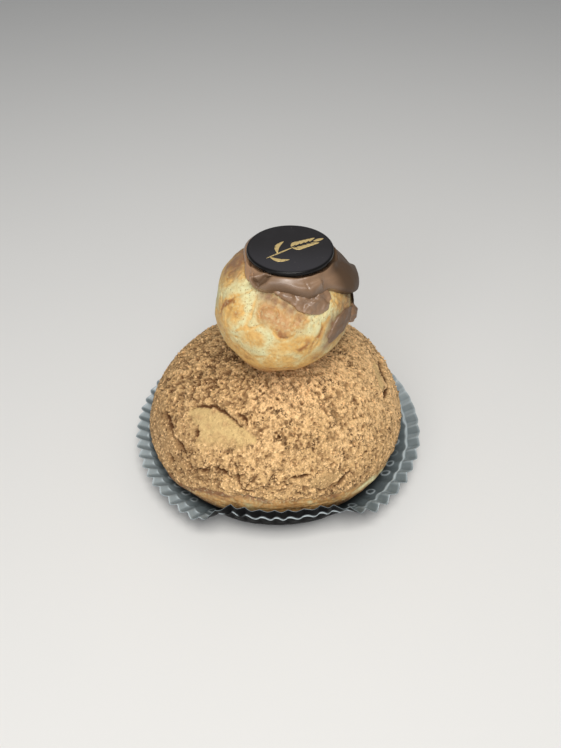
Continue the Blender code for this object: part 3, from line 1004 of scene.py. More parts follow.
def crust_bake(azimuth, level, points):
    """How brown the crust is: slow patches, browner along its lower edge, and painted darker at its left
    and paler at its right as painted shade and light.
    """
    degrees = wrapped(np.degrees(azimuth))
    left = smooth(-10.0, -60.0, degrees) * smooth(-175.0, -120.0, degrees)
    low = smooth(15.0, 4.0, np.degrees(level))
    right = smooth(20.0, 60.0, degrees) * smooth(160.0, 120.0, degrees)
    slow = 0.42 + 0.12 * layered_noise(points, 12.0, 2, 81)
    # Painted shade at the left and painted light at the right, besides the bake.
    return slow + 0.32 * left + 0.34 * low - 0.14 * right + swelling(azimuth, level, CRUST_BAKED)


def add_craquelin(settings):
    """The crust: its inside down from the top, round its edge, and its crumbled outside back up.

    Outside rows are evenly spaced from the ragged edge to where the small bun sits, and a few
    wide ones close the top. The edge is rounded over half the crust's thickness.
    """
    sizes = settings.crust
    columns = CRUST_COLUMNS
    azimuth = round_azimuths(columns)
    edge = crust_edge(azimuth)
    foot = math.radians(CRUST_SEAT)
    outside = edge + (foot - edge) * np.linspace(0.0, 1.0, CRUST_ROWS)[:, None]
    crown = np.radians(np.array((83.0, 88.0)))[:, None] * np.ones(columns)
    inside = edge + (np.radians(87.0) - edge) * np.linspace(1.0, 0.0, 7)[:, None] ** 1.4
    level = np.concatenate((inside, outside, crown))
    base = large_surface(azimuth, level)
    height, gaps, bald, tone = crust_relief(azimuth, level, base, sizes)
    outer = np.arange(len(level)) >= len(inside)
    rounding = np.ones(len(level))
    rounding[len(inside):len(inside) + len(CRUST_ROUNDING)] = CRUST_ROUNDING
    thick = sizes.thickness / MM
    hidden = blend(-0.9 * thick, -2.2, smooth(0.0, math.radians(7.0), level - edge))
    proud = blend(-0.5 * thick, 0.25 + height, rounding[:, None])
    places = large_surface(azimuth, level, np.where(outer[:, None], proud, hidden))

    # The bake mask holds the crust's bake together with its painted light and shade.
    masks = {"gap": gaps, "bald": bald, "bake": tone + crust_bake(azimuth, level, base)}
    return add_grid("craquelin_crust", places, [craquelin_material(settings.colours)], **masks)


def add_crumbs(settings):
    """Loose crumbs baked on to the crust: small lumps scattered over it, but not where it is bald."""
    generator = np.random.default_rng(7)
    count = settings.crust.crumbs
    azimuth = np.radians(generator.uniform(-180.0, 180.0, count))
    level = np.radians(10.0 + 66.0 * generator.random(count) ** 0.85)
    middle = large_surface(azimuth, level)
    height, _, bald, _ = crust_relief(azimuth, level, middle, settings.crust)
    middle = large_surface(azimuth, level, 0.30 + height)
    radius = 0.14 + 0.26 * generator.random(count) ** 2.0
    around = np.arange(7) * math.tau / 7.0
    up = np.radians((-48.0, -12.0, 22.0, 56.0))[:, None]
    ball = (np.cos(up) * np.cos(around), np.cos(up) * np.sin(around), np.sin(up) + 0 * around)
    grids = middle[:, None, None] + np.stack(ball, axis=-1) * radius[:, None, None, None]
    kept = bald < 0.2
    grids = shaken(grids, 0.45, 0.18, 91)[kept]
    zeros = np.zeros(grids.shape[:3])
    bake = crust_bake(azimuth, level, middle)[kept] - 0.4 * generator.random(len(grids))
    bake = bake[:, None, None] + zeros
    material = craquelin_material(settings.colours)
    return add_grids("craquelin_crumbs", grids, [material], gap=zeros, bald=zeros, bake=bake)


def add_large_choux(settings):
    """The bun's own skin: seen below the crust as a band with fine level wrinkles, sunk under it."""
    columns = SKIN_COLUMNS
    azimuth = round_azimuths(columns)
    base_height = np.full(columns, LARGE_BASE)
    flat = [turned_point(np.full(columns, part * LARGE_FOOT), azimuth, base_height)
            for part in (0.25, 0.6, 0.9)]
    below = -np.radians(88.0 * np.linspace(1.0, 0.0, 40) ** 1.5)
    band = np.radians(np.linspace(0.5, 18.0, SKIN_ROWS))
    above = np.radians(np.linspace(21.0, 88.0, 12))
    level = np.concatenate((below, band, above))[:, None] * np.ones(columns)
    base = large_surface(azimuth, level)
    up = np.degrees(level)
    over = np.degrees(level - crust_edge(azimuth))
    pulled = base * (0.16, 0.16, 1.0)
    wrinkles = layered_noise(shaken(pulled, 3.0, 0.5, 101), 0.55, 2, 104) * smooth(-35.0, 5.0, up)
    lumps = layered_noise(base, 8.0, 2, 107)
    blister = np.maximum(0.0, noise(base, 2.2, 109)) ** 1.5
    roll = np.exp(-((over + 4.5) / 3.0) ** 2)
    height = 0.11 * wrinkles + 0.28 * lumps + 0.18 * blister + 0.25 * roll
    height = height * smooth(-88.0, -50.0, up)
    lift = blend(blend(height, -0.55, smooth(-1.0, 3.0, over)), -1.9, smooth(4.0, 11.0, over))
    places = np.concatenate((np.stack(flat), large_surface(azimuth, level, lift)))

    around = np.degrees(azimuth)
    bake = 0.72 - 0.16 * smooth(-4.0, 8.0, up) + 0.40 * smooth(2.0, -16.0, up)
    # Painted shade at the left and painted light at the right, as on the crust.
    bake = bake + 0.30 * smooth(-12.0, -45.0, around)
    bake = bake - 0.30 * smooth(20.0, 50.0, around) * smooth(120.0, 90.0, around)
    patches = layered_noise(base * (0.7, 0.7, 1.0), 4.0, 3, 111)
    bake = bake + 0.13 * wrinkles + 0.34 * patches - 0.10 * roll
    # Painted shade: browner just below the crust's edge, under its ledge.
    bake = bake + 0.18 * smooth(-2.5, 0.0, over)
    pad = np.ones((len(flat), columns))
    none = np.zeros((len(places), columns))
    bake = np.concatenate((pad * 0.9, bake))
    pores = np.concatenate((pad * 0.0, np.full_like(up, 0.3)))
    colours = settings.colours
    material = choux_material("choux_band", colours, colours.band_golden, colours.band_brown)
    return add_grid("large_choux_skin", places, [material], bake=bake, blush=none, stain=none, pores=pores)


# ---------------------------------------------------------------- small bun

# Columns of the grids of the small bun and of its icing.
SMALL_COLUMNS = 560
# Bulges of the small bun: (height, azimuth, level, radius).
SMALL_LUMPS = (
    (1.25, -11, 33, 2.2), (0.70, -46, 24, 4.0), (0.55, -48, 6, 4.2), (0.55, -24, 4, 3.6),
    (0.45, 0, 24, 2.6), (0.55, 24, 5, 4.2), (0.60, 6, 19, 3.0), (0.60, 50, 30, 3.4),
    (0.55, -6, -16, 4.5), (0.50, 16, 24, 2.2), (0.45, 40, -14, 4.0), (0.45, -70, 40, 4.0),
    (0.45, 120, 8, 5.0), (0.45, 160, -8, 5.0), (0.45, -140, 18, 5.0),
)
# Creases: (depth, half width, corners).
SMALL_CREASES = (
    (0.34, 0.40, ((-39, -9), (-33, -12), (-28, -14), (-18, -13), (-9, -7), (-2, -12))),
    (0.26, 0.35, ((7, 22), (10, 26), (14, 27), (20, 26), (27, 24))),
    (0.30, 0.45, ((33, 20), (34, 14), (30, 8), (24, 0))),
    (0.38, 0.55, ((-27, 46), (-27, 40), (-26, 33), (-29, 24), (-29, 16), (-22, 18), (-16, 21))),
    (0.34, 0.50, ((-61, 13), (-58, 20), (-54, 28), (-47, 38), (-39, 44), (-33, 48))),
    (0.26, 0.45, ((-10, 20), (-5, 14), (2, 11), (9, 12))),
    (0.20, 0.40, ((-44, 2), (-36, 2), (-30, -2))),
    (0.25, 0.50, ((-20, -28), (-8, -30), (4, -28), (14, -31))),
    (0.30, 0.55, ((95, 20), (104, 8), (112, -4))),
    (0.30, 0.55, ((-160, 4), (-150, 12), (-138, 6))),
)
# Baked patches: (strength, azimuth, level, radius).
SMALL_BAKED = (
    (0.78, -41, 24, 1.9), (0.74, -55, 13, 2.3), (0.66, -22, 8, 2.3), (0.76, 22, 4, 2.1),
    (0.72, -40, -14, 2.3), (0.66, -10, -16, 2.2), (0.66, -50, 0, 2.4), (0.62, -48, 25, 3.6),
    (0.50, -62, 16, 3.4), (0.46, -49, 9, 2.6), (0.42, -27, 6, 2.7), (0.66, -12, 33, 2.5),
    (0.60, -2, 27, 2.3), (0.86, 2, 16, 2.0), (0.62, 6, 21, 2.0), (0.55, 12, 4, 3.2),
    (0.62, 17, -1, 2.6), (0.46, 2, 3, 3.0), (0.50, 26, 2, 2.8), (0.40, -8, -4, 2.4),
    (0.56, 13, 26, 2.0), (0.80, -90, 50, 5.5), (0.85, -88, 60, 5.5), (0.72, -74, 46, 3.2),
    (0.60, -64, 57, 3.0), (0.48, 60, 29, 4.0), (0.42, 70, 22, 3.6), (0.62, -66, -2, 4.2),
    (0.58, -50, -14, 3.6), (0.66, -30, -19, 3.4), (0.60, 50, -6, 3.4), (0.62, 26, -20, 3.4),
    (0.58, 64, 6, 3.6), (0.6, 100, 4, 5.0), (0.55, 140, -12, 5.0), (0.65, -150, 16, 5.5),
    (0.6, 175, 20, 5.0), (0.6, -120, -6, 5.0), (0.50, 74, -2, 4.0), (0.45, 4, -16, 3.4),
    (0.40, 30, -14, 3.0),
)
# Brown lines baked along the bulges' edges: (strength, half width, corners).
SMALL_EDGES = (
    (0.80, 1.50, ((-64, 10), (-60, 18), (-56, 26), (-50, 33), (-43, 37))),
    (0.70, 1.30, ((-50, 25), (-47, 29), (-42, 32))),
    (0.84, 1.50, ((-7, 22), (-3, 18), (1, 15), (6, 13), (11, 15))),
    (0.62, 1.00, ((-17, 26), (-20, 33), (-18, 39), (-11, 42), (-5, 39))),
    (0.84, 1.60, ((10, 1), (16, -2), (20, 0), (24, 4))),
    (0.66, 1.30, ((41, 20), (37, 15), (30, 6), (22, -8), (14, -12))),
    (0.60, 0.90, ((-38, 8), (-34, 12), (-28, 12), (-22, 9))),
)
# Rosy patches: (strength, azimuth, level, radius).
SMALL_BLUSH = (
    (1.0, -12, 33, 2.5), (0.95, -4, 28, 2.2), (0.9, 3, 24, 2.2), (0.75, 14, 26, 2.0), (0.7, 4, 32, 1.8),
)
# Skin soaked with icing: (strength, azimuth, level, radius).
SMALL_STAINS = (
    (1.00, -112, 55, 3.4), (1.00, -94, 54, 3.2), (0.85, -92, 46, 2.6), (0.95, -76, 54, 2.6),
    (0.75, -66, 51, 1.6), (0.80, -22, 48, 1.2), (0.85, -14, 47, 1.4), (0.9, -6, 45.5, 1.6),
    (0.9, 2, 42.5, 1.6), (0.85, 9, 37, 1.5), (0.70, 16, 31, 1.2), (0.90, 52, 11, 2.6),
    (0.90, 61, 14, 3.0), (0.95, 45, 12, 2.0), (0.90, 40, 3, 2.0), (0.80, 38, -6, 2.0),
    (0.90, 60, 4, 2.8), (0.70, 76, 4, 3.0), (0.70, 74, 20, 2.2), (0.60, 84, 12, 2.6),
    (0.70, 58, 25, 1.4), (0.45, 30, -16, 2.0),
)
# Foamy places where icing has soaked in: (strength, azimuth, level, radius).
SMALL_FOAM = (
    (1.0, -6, 46, 1.6), (1.0, 1, 42, 1.5), (1.0, 9, 35, 1.6), (1.0, 15, 29, 1.8), (0.9, 26, 24, 1.9),
    (0.8, 42, 24, 2.0), (0.7, 58, 28, 3.0), (0.7, 68, 20, 3.0),
)


def swirl(points, azimuth, level, radius):
    """A crease round the knob: a ring of the given radius, open at its lower right.

    A millimetre on the small bun is 3.4 degrees of level, and 1.25 times as many of azimuth here.
    """
    turn = np.radians(np.linspace(-30.0, 215.0, 9))
    azimuths = azimuth + 1.25 * radius * 3.4 * np.cos(turn)
    levels = level + radius * 3.4 * np.sin(turn)
    return groove(points, small_surface, np.stack((azimuths, levels), axis=-1), 0.38)


def bells(points, surface, places):
    """Strongest of round patches that fade as bells, each (strength, azimuth, level, radius)."""
    total = np.zeros(points.shape[:-1])
    for strength, azimuth, level, radius in places:
        middle = on_bun(surface, [(azimuth, level)])[0]
        reach = np.sum((points - middle) ** 2, axis=-1) / radius**2
        total = np.maximum(total, strength * np.exp(-0.9 * reach))
    return total


def add_small_choux(settings):
    """The small bun, with its bulges, creases, baked patches and pores; its foot follows the dome.

    Its bake is the strongest of the patches and edge lines, drawn on a place shaken by noise and
    mottled by finer noise, over a browner bottom; the swirl's ring and the creases are painted
    browner as shade in them.
    """
    columns = SMALL_COLUMNS
    azimuth = round_azimuths(columns)
    rows = stretches((-88.0, -55.0, 14), (-53.5, 62.0, 112), (64.0, 88.0, 9))
    level = np.radians(rows)[:, None] * np.ones(columns)
    base = small_surface(azimuth, level)
    up = np.degrees(level)
    soft = shaken(base, 4.0, 0.6, 121)
    height = 0.30 * layered_noise(base, 7.0, 3, 124) + 0.06 * noise(base, 1.1, 128)
    for bulge, middle, middle_level, radius in SMALL_LUMPS:
        place = on_bun(small_surface, [(middle, middle_level)])[0]
        distance = np.linalg.norm(soft - place, axis=-1) / radius
        height = height + bulge * np.exp(-(distance ** 2) * 1.1)
    ragged = shaken(shaken(base, 2.2, 0.45, 131), 0.8, 0.16, 134)
    crease = np.zeros_like(height)
    for depth, width, corners in SMALL_CREASES:
        line = groove(ragged, small_surface, corners, width)
        height = height - depth * line
        crease = np.maximum(crease, line)
    ring = swirl(base, -11.0, 32.0, 1.9)
    height = height - 0.55 * ring
    crackle = smooth(0.20, 0.03, np.abs(noise(ragged, 2.1, 137)))
    crackle = crackle * smooth(-0.1, 0.3, noise(base, 3.0, 138))
    crackle = crackle * smooth(-26.0, -14.0, up)
    foam = bells(soft, small_surface, SMALL_FOAM)
    height = height - 0.15 * crackle + foam * (0.12 + 0.38 * noise(ragged, 1.1, 139))
    height = height * smooth(-80.0, -45.0, up) * smooth(85.0, 60.0, up) - 0.35
    places = small_surface(azimuth, level, height)
    floor = dome_height(places[..., 0], places[..., 1]) - 0.1
    places[..., 2] = np.minimum(np.maximum(places[..., 2], floor), SMALL_TOP - 0.1)

    patchy = shaken(shaken(base, 4.5, 1.0, 141), 1.6, 0.35, 144)
    mottle = layered_noise(base, 2.2, 3, 147)
    bake = 0.05 + 0.24 * np.maximum(0.0, layered_noise(base, 5.5, 3, 151))
    bake = np.maximum(bake, bells(patchy, small_surface, SMALL_BAKED) * (1.0 + 0.35 * mottle))
    for strength, width, corners in SMALL_EDGES:
        line = groove(patchy, small_surface, corners, width)
        bake = np.maximum(bake, strength * line * (1.0 + 0.4 * mottle))
    bake = np.maximum(bake, blend(0.0, 0.62, smooth(-13.0, -27.0, up + 4.0 * mottle)))
    # Painted shade: the swirl's ring and the creases are painted browner, as shade in them.
    bake = bake + 0.25 * smooth(-26.0, -42.0, up) + 0.45 * ring + 0.28 * crease + 0.10 * crackle
    bake = bake + foam * (0.10 + 0.5 * noise(ragged, 0.8, 154))
    blush = np.minimum(1.0, 1.2 * bells(soft, small_surface, SMALL_BLUSH))
    # Less rosy in the ring and creases, so that their painted shade shows.
    blush = blush * (1.0 - 0.55 * np.maximum(ring, crease))
    stain = bells(ragged, small_surface, SMALL_STAINS) * (1.0 + 0.4 * noise(ragged, 1.2, 163))
    stain = np.clip(stain, 0.0, 1.0)
    pores = smooth(0.50, 0.15, bake)
    colours = settings.colours
    material = choux_material("choux_skin", colours, colours.dough_golden, colours.dough_brown)
    return add_grid("small_choux_bun", places, [material], bake=bake, blush=blush, pores=pores, stain=stain)


# ---------------------------------------------------------------- icing

# Level of the icing's hem round the small bun: (azimuth, level).
ICING_HEM = (
    (-170, 38), (-145, 48), (-125, 55), (-108, 60), (-88, 63), (-68, 62), (-53, 57), (-41, 53),
    (-31, 50.5), (-18, 50), (-8, 51), (3, 50), (12, 47), (20, 43.5), (28, 42), (36, 41.5), (44, 43),
    (50, 42), (57, 37), (66, 30), (77, 22), (86, 17), (98, 15), (116, 14), (140, 21),
)
# Rolls that stand up on the icing and creases in it: (height, half width, corners).
ICING_ROLLS = (
    (1.75, 2.5, ((-32, 55), (-16, 55.5), (0, 55), (14, 52), (27, 48.5), (39, 50.5))),
    (1.50, 4.0, ((50, 52), (66, 44), (78, 36), (90, 29), (104, 26))),
    (0.90, 0.65, ((-40, 58), (-36, 54), (-32, 51.5), (-26, 50.5))),
    (0.60, 0.60, ((-38, 60), (-31, 58.5), (-25, 59.5), (-19, 63))),
    (0.35, 0.80, ((-92, 72), (-76, 68), (-62, 63), (-52, 59))),
    (0.70, 2.6, ((110, 24), (140, 32), (170, 44))),
)
ICING_CREASES = (
    (2.30, 0.70, ((-32, 55), (-27, 54), (-21, 56.5), (-14, 59.5))),
    (0.80, 0.45, ((-40, 51), (-43, 56), (-50, 62), (-60, 67))),
    (0.35, 0.50, ((-58, 57), (-64, 63), (-74, 68))),
    (0.14, 0.24, ((22, 60), (24, 52), (24, 45))),
    (0.30, 0.90, ((43, 46), (45, 52), (52, 60))),
)
# Rows of a thin run's underside; its outside has twice as many.
RUN_ROWS_BELOW = 12
# Thin runs below the hem, a tongue, a smear and a drip: (thickness, how thin the rim looks, how
# dark the rest is, outline corners as azimuth and level).
ICING_RUNS = (
    (0.85, 0.40, 0.12, (
        (-8, 52), (-4, 48), (3, 44), (9, 40), (14, 35), (20, 31), (27, 28), (35, 27), (42, 28), (47, 32),
        (50, 38), (49, 46), (34, 53), (12, 56),
    )),
    (0.36, 0.12, 0.55, (
        (104, 20), (97, 12), (88, 7), (78, 9), (68, 14), (58, 17), (49, 15), (43, 10), (39, 4), (37, -1),
        (39, -5), (44, -4), (52, 1), (64, 2), (76, -3), (90, -2), (104, 6), (112, 16),
    )),
    (0.90, 0.40, 0.45, ((82, 8), (75, 9), (69, 7), (67, 2), (70, -4), (76, -5), (81, -2), (84, 3))),
)


def add_icing_cap(settings):
    """The icing: its underside down from the top to the hem, then its outside with rolls and folds.

    Its thickness rises from the hem as a quarter circle over a millimetre and a half. It is
    levelled softly under the disc, and a narrow collar is squeezed up round the disc's edge.
    """
    sizes = settings.icing
    columns = SMALL_COLUMNS
    azimuth = round_azimuths(columns)
    degrees = np.degrees(azimuth)
    circle = turned_point(SMALL_RADIUS, azimuth, np.zeros(columns))
    hem = np.radians(closed_curve(degrees, ICING_HEM) + 0.5 * noise(circle, 3.0, 151))
    top = math.radians(88.0)
    under = hem + (top - hem) * np.linspace(1.0, 0.04, 9)[:, None]
    rise = np.concatenate(((0.0, 0.012, 0.03, 0.055, 0.085), np.linspace(0.12, 1.0, 72)))[:, None]
    over = hem + (top - hem) * rise
    level = np.concatenate((under, over))
    outside = (np.arange(len(level)) >= len(under))[:, None]
    base = small_surface(azimuth, level)
    soft = shaken(base, 3.0, 0.3, 154)
    inward = (level - hem) * SMALL_RADIUS
    sharp = blend(1.5, 0.9, smooth(40.0, 52.0, degrees) * smooth(110.0, 95.0, degrees))
    rounding = np.sqrt(1.0 - (1.0 - np.clip(inward / sharp, 0.0, 1.0)) ** 2)
    curtain = smooth(-38.0, -50.0, degrees) * smooth(-150.0, -120.0, degrees)
    thick = sizes.thickness / MM * (1.0 - 0.3 * curtain) + 0.14 * layered_noise(base, 6.0, 2, 157)
    for height, width, corners in ICING_ROLLS:
        thick = thick + height * groove(soft, small_surface, corners, width)
    for depth, width, corners in ICING_CREASES:
        thick = thick - depth * groove(soft, small_surface, corners, width)
    proud = np.where(outside, thick * rounding - 0.15, -0.5)
    places = small_surface(azimuth, level, proud)
    softness = 0.35
    ceiling = np.where(outside, DISC_LOW[2] + 0.12, SMALL_TOP - 0.3)
    reach = np.hypot(places[..., 0] - DISC_MIDDLE[0], places[..., 1] - DISC_MIDDLE[1]) - DISC_RADIUS
    collar = np.exp(-((reach - 0.5) / 0.6) ** 2) * outside * (0.75 + 0.5 * noise(base, 3.5, 160))
    excess = (ceiling - places[..., 2]) / softness
    places[..., 2] = ceiling - softness * np.log1p(np.exp(np.clip(excess, -30.0, 30.0)))
    squeezed = np.clip(collar, 0.0, 0.9) * smooth(0.5, 0.9, rounding)
    places[..., 2] = blend(places[..., 2], DISC_LOW[2] + 0.30, squeezed)
    thin = (1.0 - smooth(0.0, 0.5, rounding)) * 0.5
    # Painted sheen: the curtain at the left is painted lighter, as the light's sheen on it.
    thin = thin + 0.30 * smooth(-20.0, -45.0, degrees) * smooth(-110.0, -80.0, degrees)
    thin = thin * outside
    # Painted shade, carried by the thick mask: darker at the right, in the slit of the fold at the left and
    # along the lip under the front roll.
    _, width, corners = ICING_CREASES[0]
    slit = groove(soft, small_surface, corners, 1.3 * width)
    lip = smooth(2.4, 0.4, inward) * smooth(-24.0, -8.0, degrees) * smooth(60.0, 36.0, degrees)
    right = smooth(48.0, 66.0, degrees) * smooth(170.0, 120.0, degrees)
    thick = np.maximum(np.maximum(right, 0.55 * lip), 0.8 * slit)
    return add_grid("icing_cap", places, [icing_material(settings.colours)], thin=thin, thick=thick)


def add_icing_runs(settings):
    """A thin tongue, a smear and a drip below the hem, each both faces of a smooth closed outline.

    Thickness falls from the middle to nothing at the crumbly rim as sqrt(1 - share^3).
    """
    grids, thins, darks = [], [], []
    share = stretches((0.06, 1.0, RUN_ROWS_BELOW), (0.97, 0.06, 2 * RUN_ROWS_BELOW))[:, None]
    upper = (np.arange(len(share)) >= RUN_ROWS_BELOW)[:, None]
    for thickness, rim_thinness, darkness, corners in ICING_RUNS:
        loop = np.radians(smooth_loop(corners, 160))
        middle = loop.mean(axis=0)
        rim = small_surface(loop[:, 0], loop[:, 1])
        reach = SMALL_RADIUS * np.hypot(*(loop - middle).T).mean()
        crumbly = 1.0 + (0.35 * noise(rim, 1.8, 158) + 0.30 * noise(rim, 0.8, 159)) / reach
        angles = middle + (loop - middle) * (share * blend(1.0, crumbly, share ** 2))[..., None]
        base = small_surface(angles[..., 0], angles[..., 1])
        waves = 1.0 + 0.85 * layered_noise(shaken(base, 2.0, 0.5, 164), 2.0, 2, 161)
        waves = waves + 0.25 * share ** 2 * noise(base, 0.9, 163)
        dome = thickness * waves * np.sqrt(np.maximum(0.0, 1.0 - share ** 3))
        dome = dome * blend(1.0, 0.45, smooth(78.0, 92.0, np.degrees(angles[..., 0])))
        proud = np.where(upper, dome + 0.10 * (share < 0.99), -0.9)
        grids.append(small_surface(angles[..., 0], angles[..., 1], proud))
        thins.append(blend(0.0, rim_thinness, share ** 5) * np.ones(dome.shape))
        # The rest of each run is painted darker by its darkness, through the same mask as the cap's painted
        # shade.
        darks.append(darkness * (1.0 - thins[-1]))
    material = icing_material(settings.colours)
    return add_grids("icing_runs", np.stack(grids), [material], thin=np.stack(thins), thick=np.stack(darks))


# ---------------------------------------------------------------- chocolate disc

# Columns of the disc's grid.
DISC_COLUMNS = 192


def add_chocolate_disc(settings):
    """A turned outline: flat underneath, rounded edges, and a face with a very slight hollow."""
    columns = DISC_COLUMNS
    azimuth = round_azimuths(columns)
    edge = settings.disc.edge / MM
    bottom, top = DISC_LOW[2], DISC_HIGH[2]
    turn = np.radians(np.linspace(-90.0, 0.0, 7))
    lower = [(DISC_RADIUS - edge + edge * math.cos(a), bottom + edge + edge * math.sin(a)) for a in turn]
    upper = [(DISC_RADIUS - edge + edge * math.cos(a), top - edge - edge * math.sin(a)) for a in turn[::-1]]
    face = [(DISC_RADIUS * part, top) for part in np.linspace(0.93, 0.04, 22)]
    outline = np.array([(0.3, bottom), (DISC_RADIUS * 0.6, bottom), *lower, *upper, *face])
    radius, height = outline[:, 0][:, None], outline[:, 1][:, None]
    ripple = 1.0 + 0.004 * np.sin(3.0 * azimuth + 0.6) * (radius / DISC_RADIUS)
    grid = turned_point(radius * ripple, azimuth, height + 0.0 * azimuth)
    grid[..., :2] += DISC_MIDDLE[:2]
    on_face = height > top - 0.01
    grid[..., 2] -= on_face * (0.03 * (1.0 - (radius / DISC_RADIUS) ** 2) + 0.015 * noise(grid, 4.0, 171))
    # Mask of the rounded rim, which is painted nearly black as shade.
    rim = smooth(DISC_RADIUS - 0.55, DISC_RADIUS - 0.15, radius) + 0.0 * azimuth
    # Painted reflection: the front of the face is painted lighter.
    bloom = smooth(3.0, -9.0, grid[..., 1] - DISC_MIDDLE[1]) * on_face
    material = dark_chocolate_material(settings.colours)
    return add_grid("chocolate_disc", grid, [material], rim=rim, bloom=bloom)


def spindle(start, end, width, thickness, bow=0.0):
    """A leaf: rings along a bowed line, as wide as the sine of the share along it to the 0.8."""
    share = np.linspace(0.03, 0.97, 13)[:, None]
    around = np.arange(10) * math.tau / 10.0
    run = np.array(end, float) - start
    side = np.array((-run[1], run[0])) / np.hypot(*run)
    swell = np.sin(math.pi * share) ** 0.8
    sideways = bow * np.sin(math.pi * share) + 0.5 * width * swell * np.cos(around)
    flat = np.array(start) + share[..., None] * run + sideways[..., None] * side
    return np.concatenate((flat, (thickness * swell * np.sin(around))[..., None]), axis=-1)


def add_gold_sprig(settings):
    """A generic ear of wheat in gold on the disc: paired grains along a bowed stem, and two leaves."""
    length = settings.disc.sprig / MM
    parts = [spindle((-0.50, -0.10), (0.10, 0.0), 0.035, 0.03)]
    for step in range(5):
        along = 0.02 + 0.085 * step
        size = 0.19 - 0.014 * step
        for side in (-1.0, 1.0):
            start = (along, side * 0.022)
            end = (along + size, side * (0.022 + 0.42 * size))
            parts.append(spindle(start, end, 0.42 * size, 0.05, side * 0.02))
    parts.append(spindle((0.42, 0.0), (0.62, 0.0), 0.07, 0.05))
    parts.append(spindle((-0.26, -0.05), (0.00, 0.22), 0.085, 0.03, 0.06))
    parts.append(spindle((-0.42, -0.08), (-0.16, -0.30), 0.085, 0.03, -0.06))
    grids = np.stack(parts)
    turn = math.radians(settings.disc.sprig_turn)
    across = grids[..., 0] * math.cos(turn) - grids[..., 1] * math.sin(turn)
    along = grids[..., 0] * math.sin(turn) + grids[..., 1] * math.cos(turn)
    places = np.stack((across * length, along * length, grids[..., 2]), axis=-1)
    places += (DISC_MIDDLE[0], DISC_MIDDLE[1], DISC_HIGH[2] - 0.01)
    return add_grids("gold_sprig", places, [gold_material(settings.colours)])


# ---------------------------------------------------------------- settings

def length_property(name, description, millimetres):
    """A length that a user can change, with its default in millimetres."""
    return bpy.props.FloatProperty(
        name=name, description=description, default=millimetres * MM, min=0.0, subtype="DISTANCE",
        unit="LENGTH", precision=5,
    )


def colour_property(name, description, red, green, blue):
    """A colour that a user can change; its default is given as it looks, 0 to 255."""
    linear = [(value / 255.0 / 12.92 if value < 11 else ((value / 255.0 + 0.055) / 1.055) ** 2.4)
              for value in (red, green, blue)]
    return bpy.props.FloatVectorProperty(
        name=name, description=description, default=linear, min=0.0, max=1.0, size=3, subtype="COLOR",
    )


class CaseSizes(bpy.types.PropertyGroup):
    pleats: bpy.props.IntProperty(name="Pleats", description="Folds round the case", default=60, min=12)
    pleat_depth: length_property("Pleat depth", "How far a fold stands off the wall at the rim", 0.62)
    paper: length_property("Paper", "Thickness of the laminated paper", 0.2)


class CrustSizes(bpy.types.PropertyGroup):
    thickness: length_property("Thickness", "Thickness of the craquelin", 0.55)
    clump: length_property("Clump", "Size of the crust's lumps", 2.6)
    crumb: length_property("Crumb", "Size of the crumbs within a lump", 0.85)
    relief: length_property("Relief", "Scale of the height differences between crumbs", 0.62)
    crumbs: bpy.props.IntProperty(
        name="Crumbs", description="Loose crumbs on the crust", default=1400, min=1,
    )


class IcingSizes(bpy.types.PropertyGroup):
    thickness: length_property("Thickness", "Thickness of the icing between its rolls", 1.3)


class DiscSizes(bpy.types.PropertyGroup):
    edge: length_property("Edge", "Radius of the disc's rounded edge", 0.4)
    sprig: length_property("Sprig", "Length that the gold sprig is drawn to", 14.0)
    sprig_turn: bpy.props.FloatProperty(
        name="Sprig turn", description="Direction of the sprig, in degrees from the right", default=28.0,
    )


class PastryColours(bpy.types.PropertyGroup):
    crust: colour_property("Crust", "Crumbs of the craquelin", 219, 178, 123)
    # Colour of the painted shade down in the craquelin's gaps.
    crust_gap: colour_property("Crust gaps", "Down in the craquelin's gaps", 98, 62, 33)
    crust_bald: colour_property("Bald crust", "Smooth places of the craquelin", 212, 181, 123)
    band_golden: colour_property("Band golden", "Skin under the crust's edge", 194, 152, 96)
    band_brown: colour_property("Band brown", "Bottom of the large bun", 128, 92, 60)
    dough_pale: colour_property("Pale dough", "Least baked skin", 216, 211, 164)
    dough_golden: colour_property("Golden dough", "Golden skin", 215, 174, 104)
    dough_brown: colour_property("Brown dough", "Most baked skin", 158, 106, 60)
    dough_blush: colour_property("Rosy dough", "Rosy patches of the small bun", 194, 151, 104)
    icing: colour_property("Icing", "Chocolate icing", 133, 104, 79)
    disc: colour_property("Disc", "Dark chocolate", 44, 42, 43)
    gold: colour_property("Gold", "Gold print", 232, 204, 140)
    case_inside: colour_property("Case inside", "Laminated inside of the paper", 100, 110, 113)
    case_outside: colour_property("Case outside", "Glossy outside of the paper", 8, 8, 9)
    floor: colour_property("Floor", "Studio floor", 226, 225, 222)


class ReligieuseSettings(bpy.types.PropertyGroup):
    case: bpy.props.PointerProperty(type=CaseSizes)
    crust: bpy.props.PointerProperty(type=CrustSizes)
    icing: bpy.props.PointerProperty(type=IcingSizes)
    disc: bpy.props.PointerProperty(type=DiscSizes)
    colours: bpy.props.PointerProperty(type=PastryColours)
    key_power: bpy.props.FloatProperty(
        name="Key light", description="Power of the soft light overhead", default=2.6, min=0.0,
        unit="POWER",
    )


# ---------------------------------------------------------------- operators

class PAPER_CASE_OT_add(bpy.types.Operator):
    """Adds the pleated paper case"""
    bl_idname = "religieuse.paper_case"
    bl_label = "Paper Case"

    def execute(self, context):
        case = add_paper_case(context.scene.religieuse)
        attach(case, "root")
        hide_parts("pleated_case")
        return {"FINISHED"}


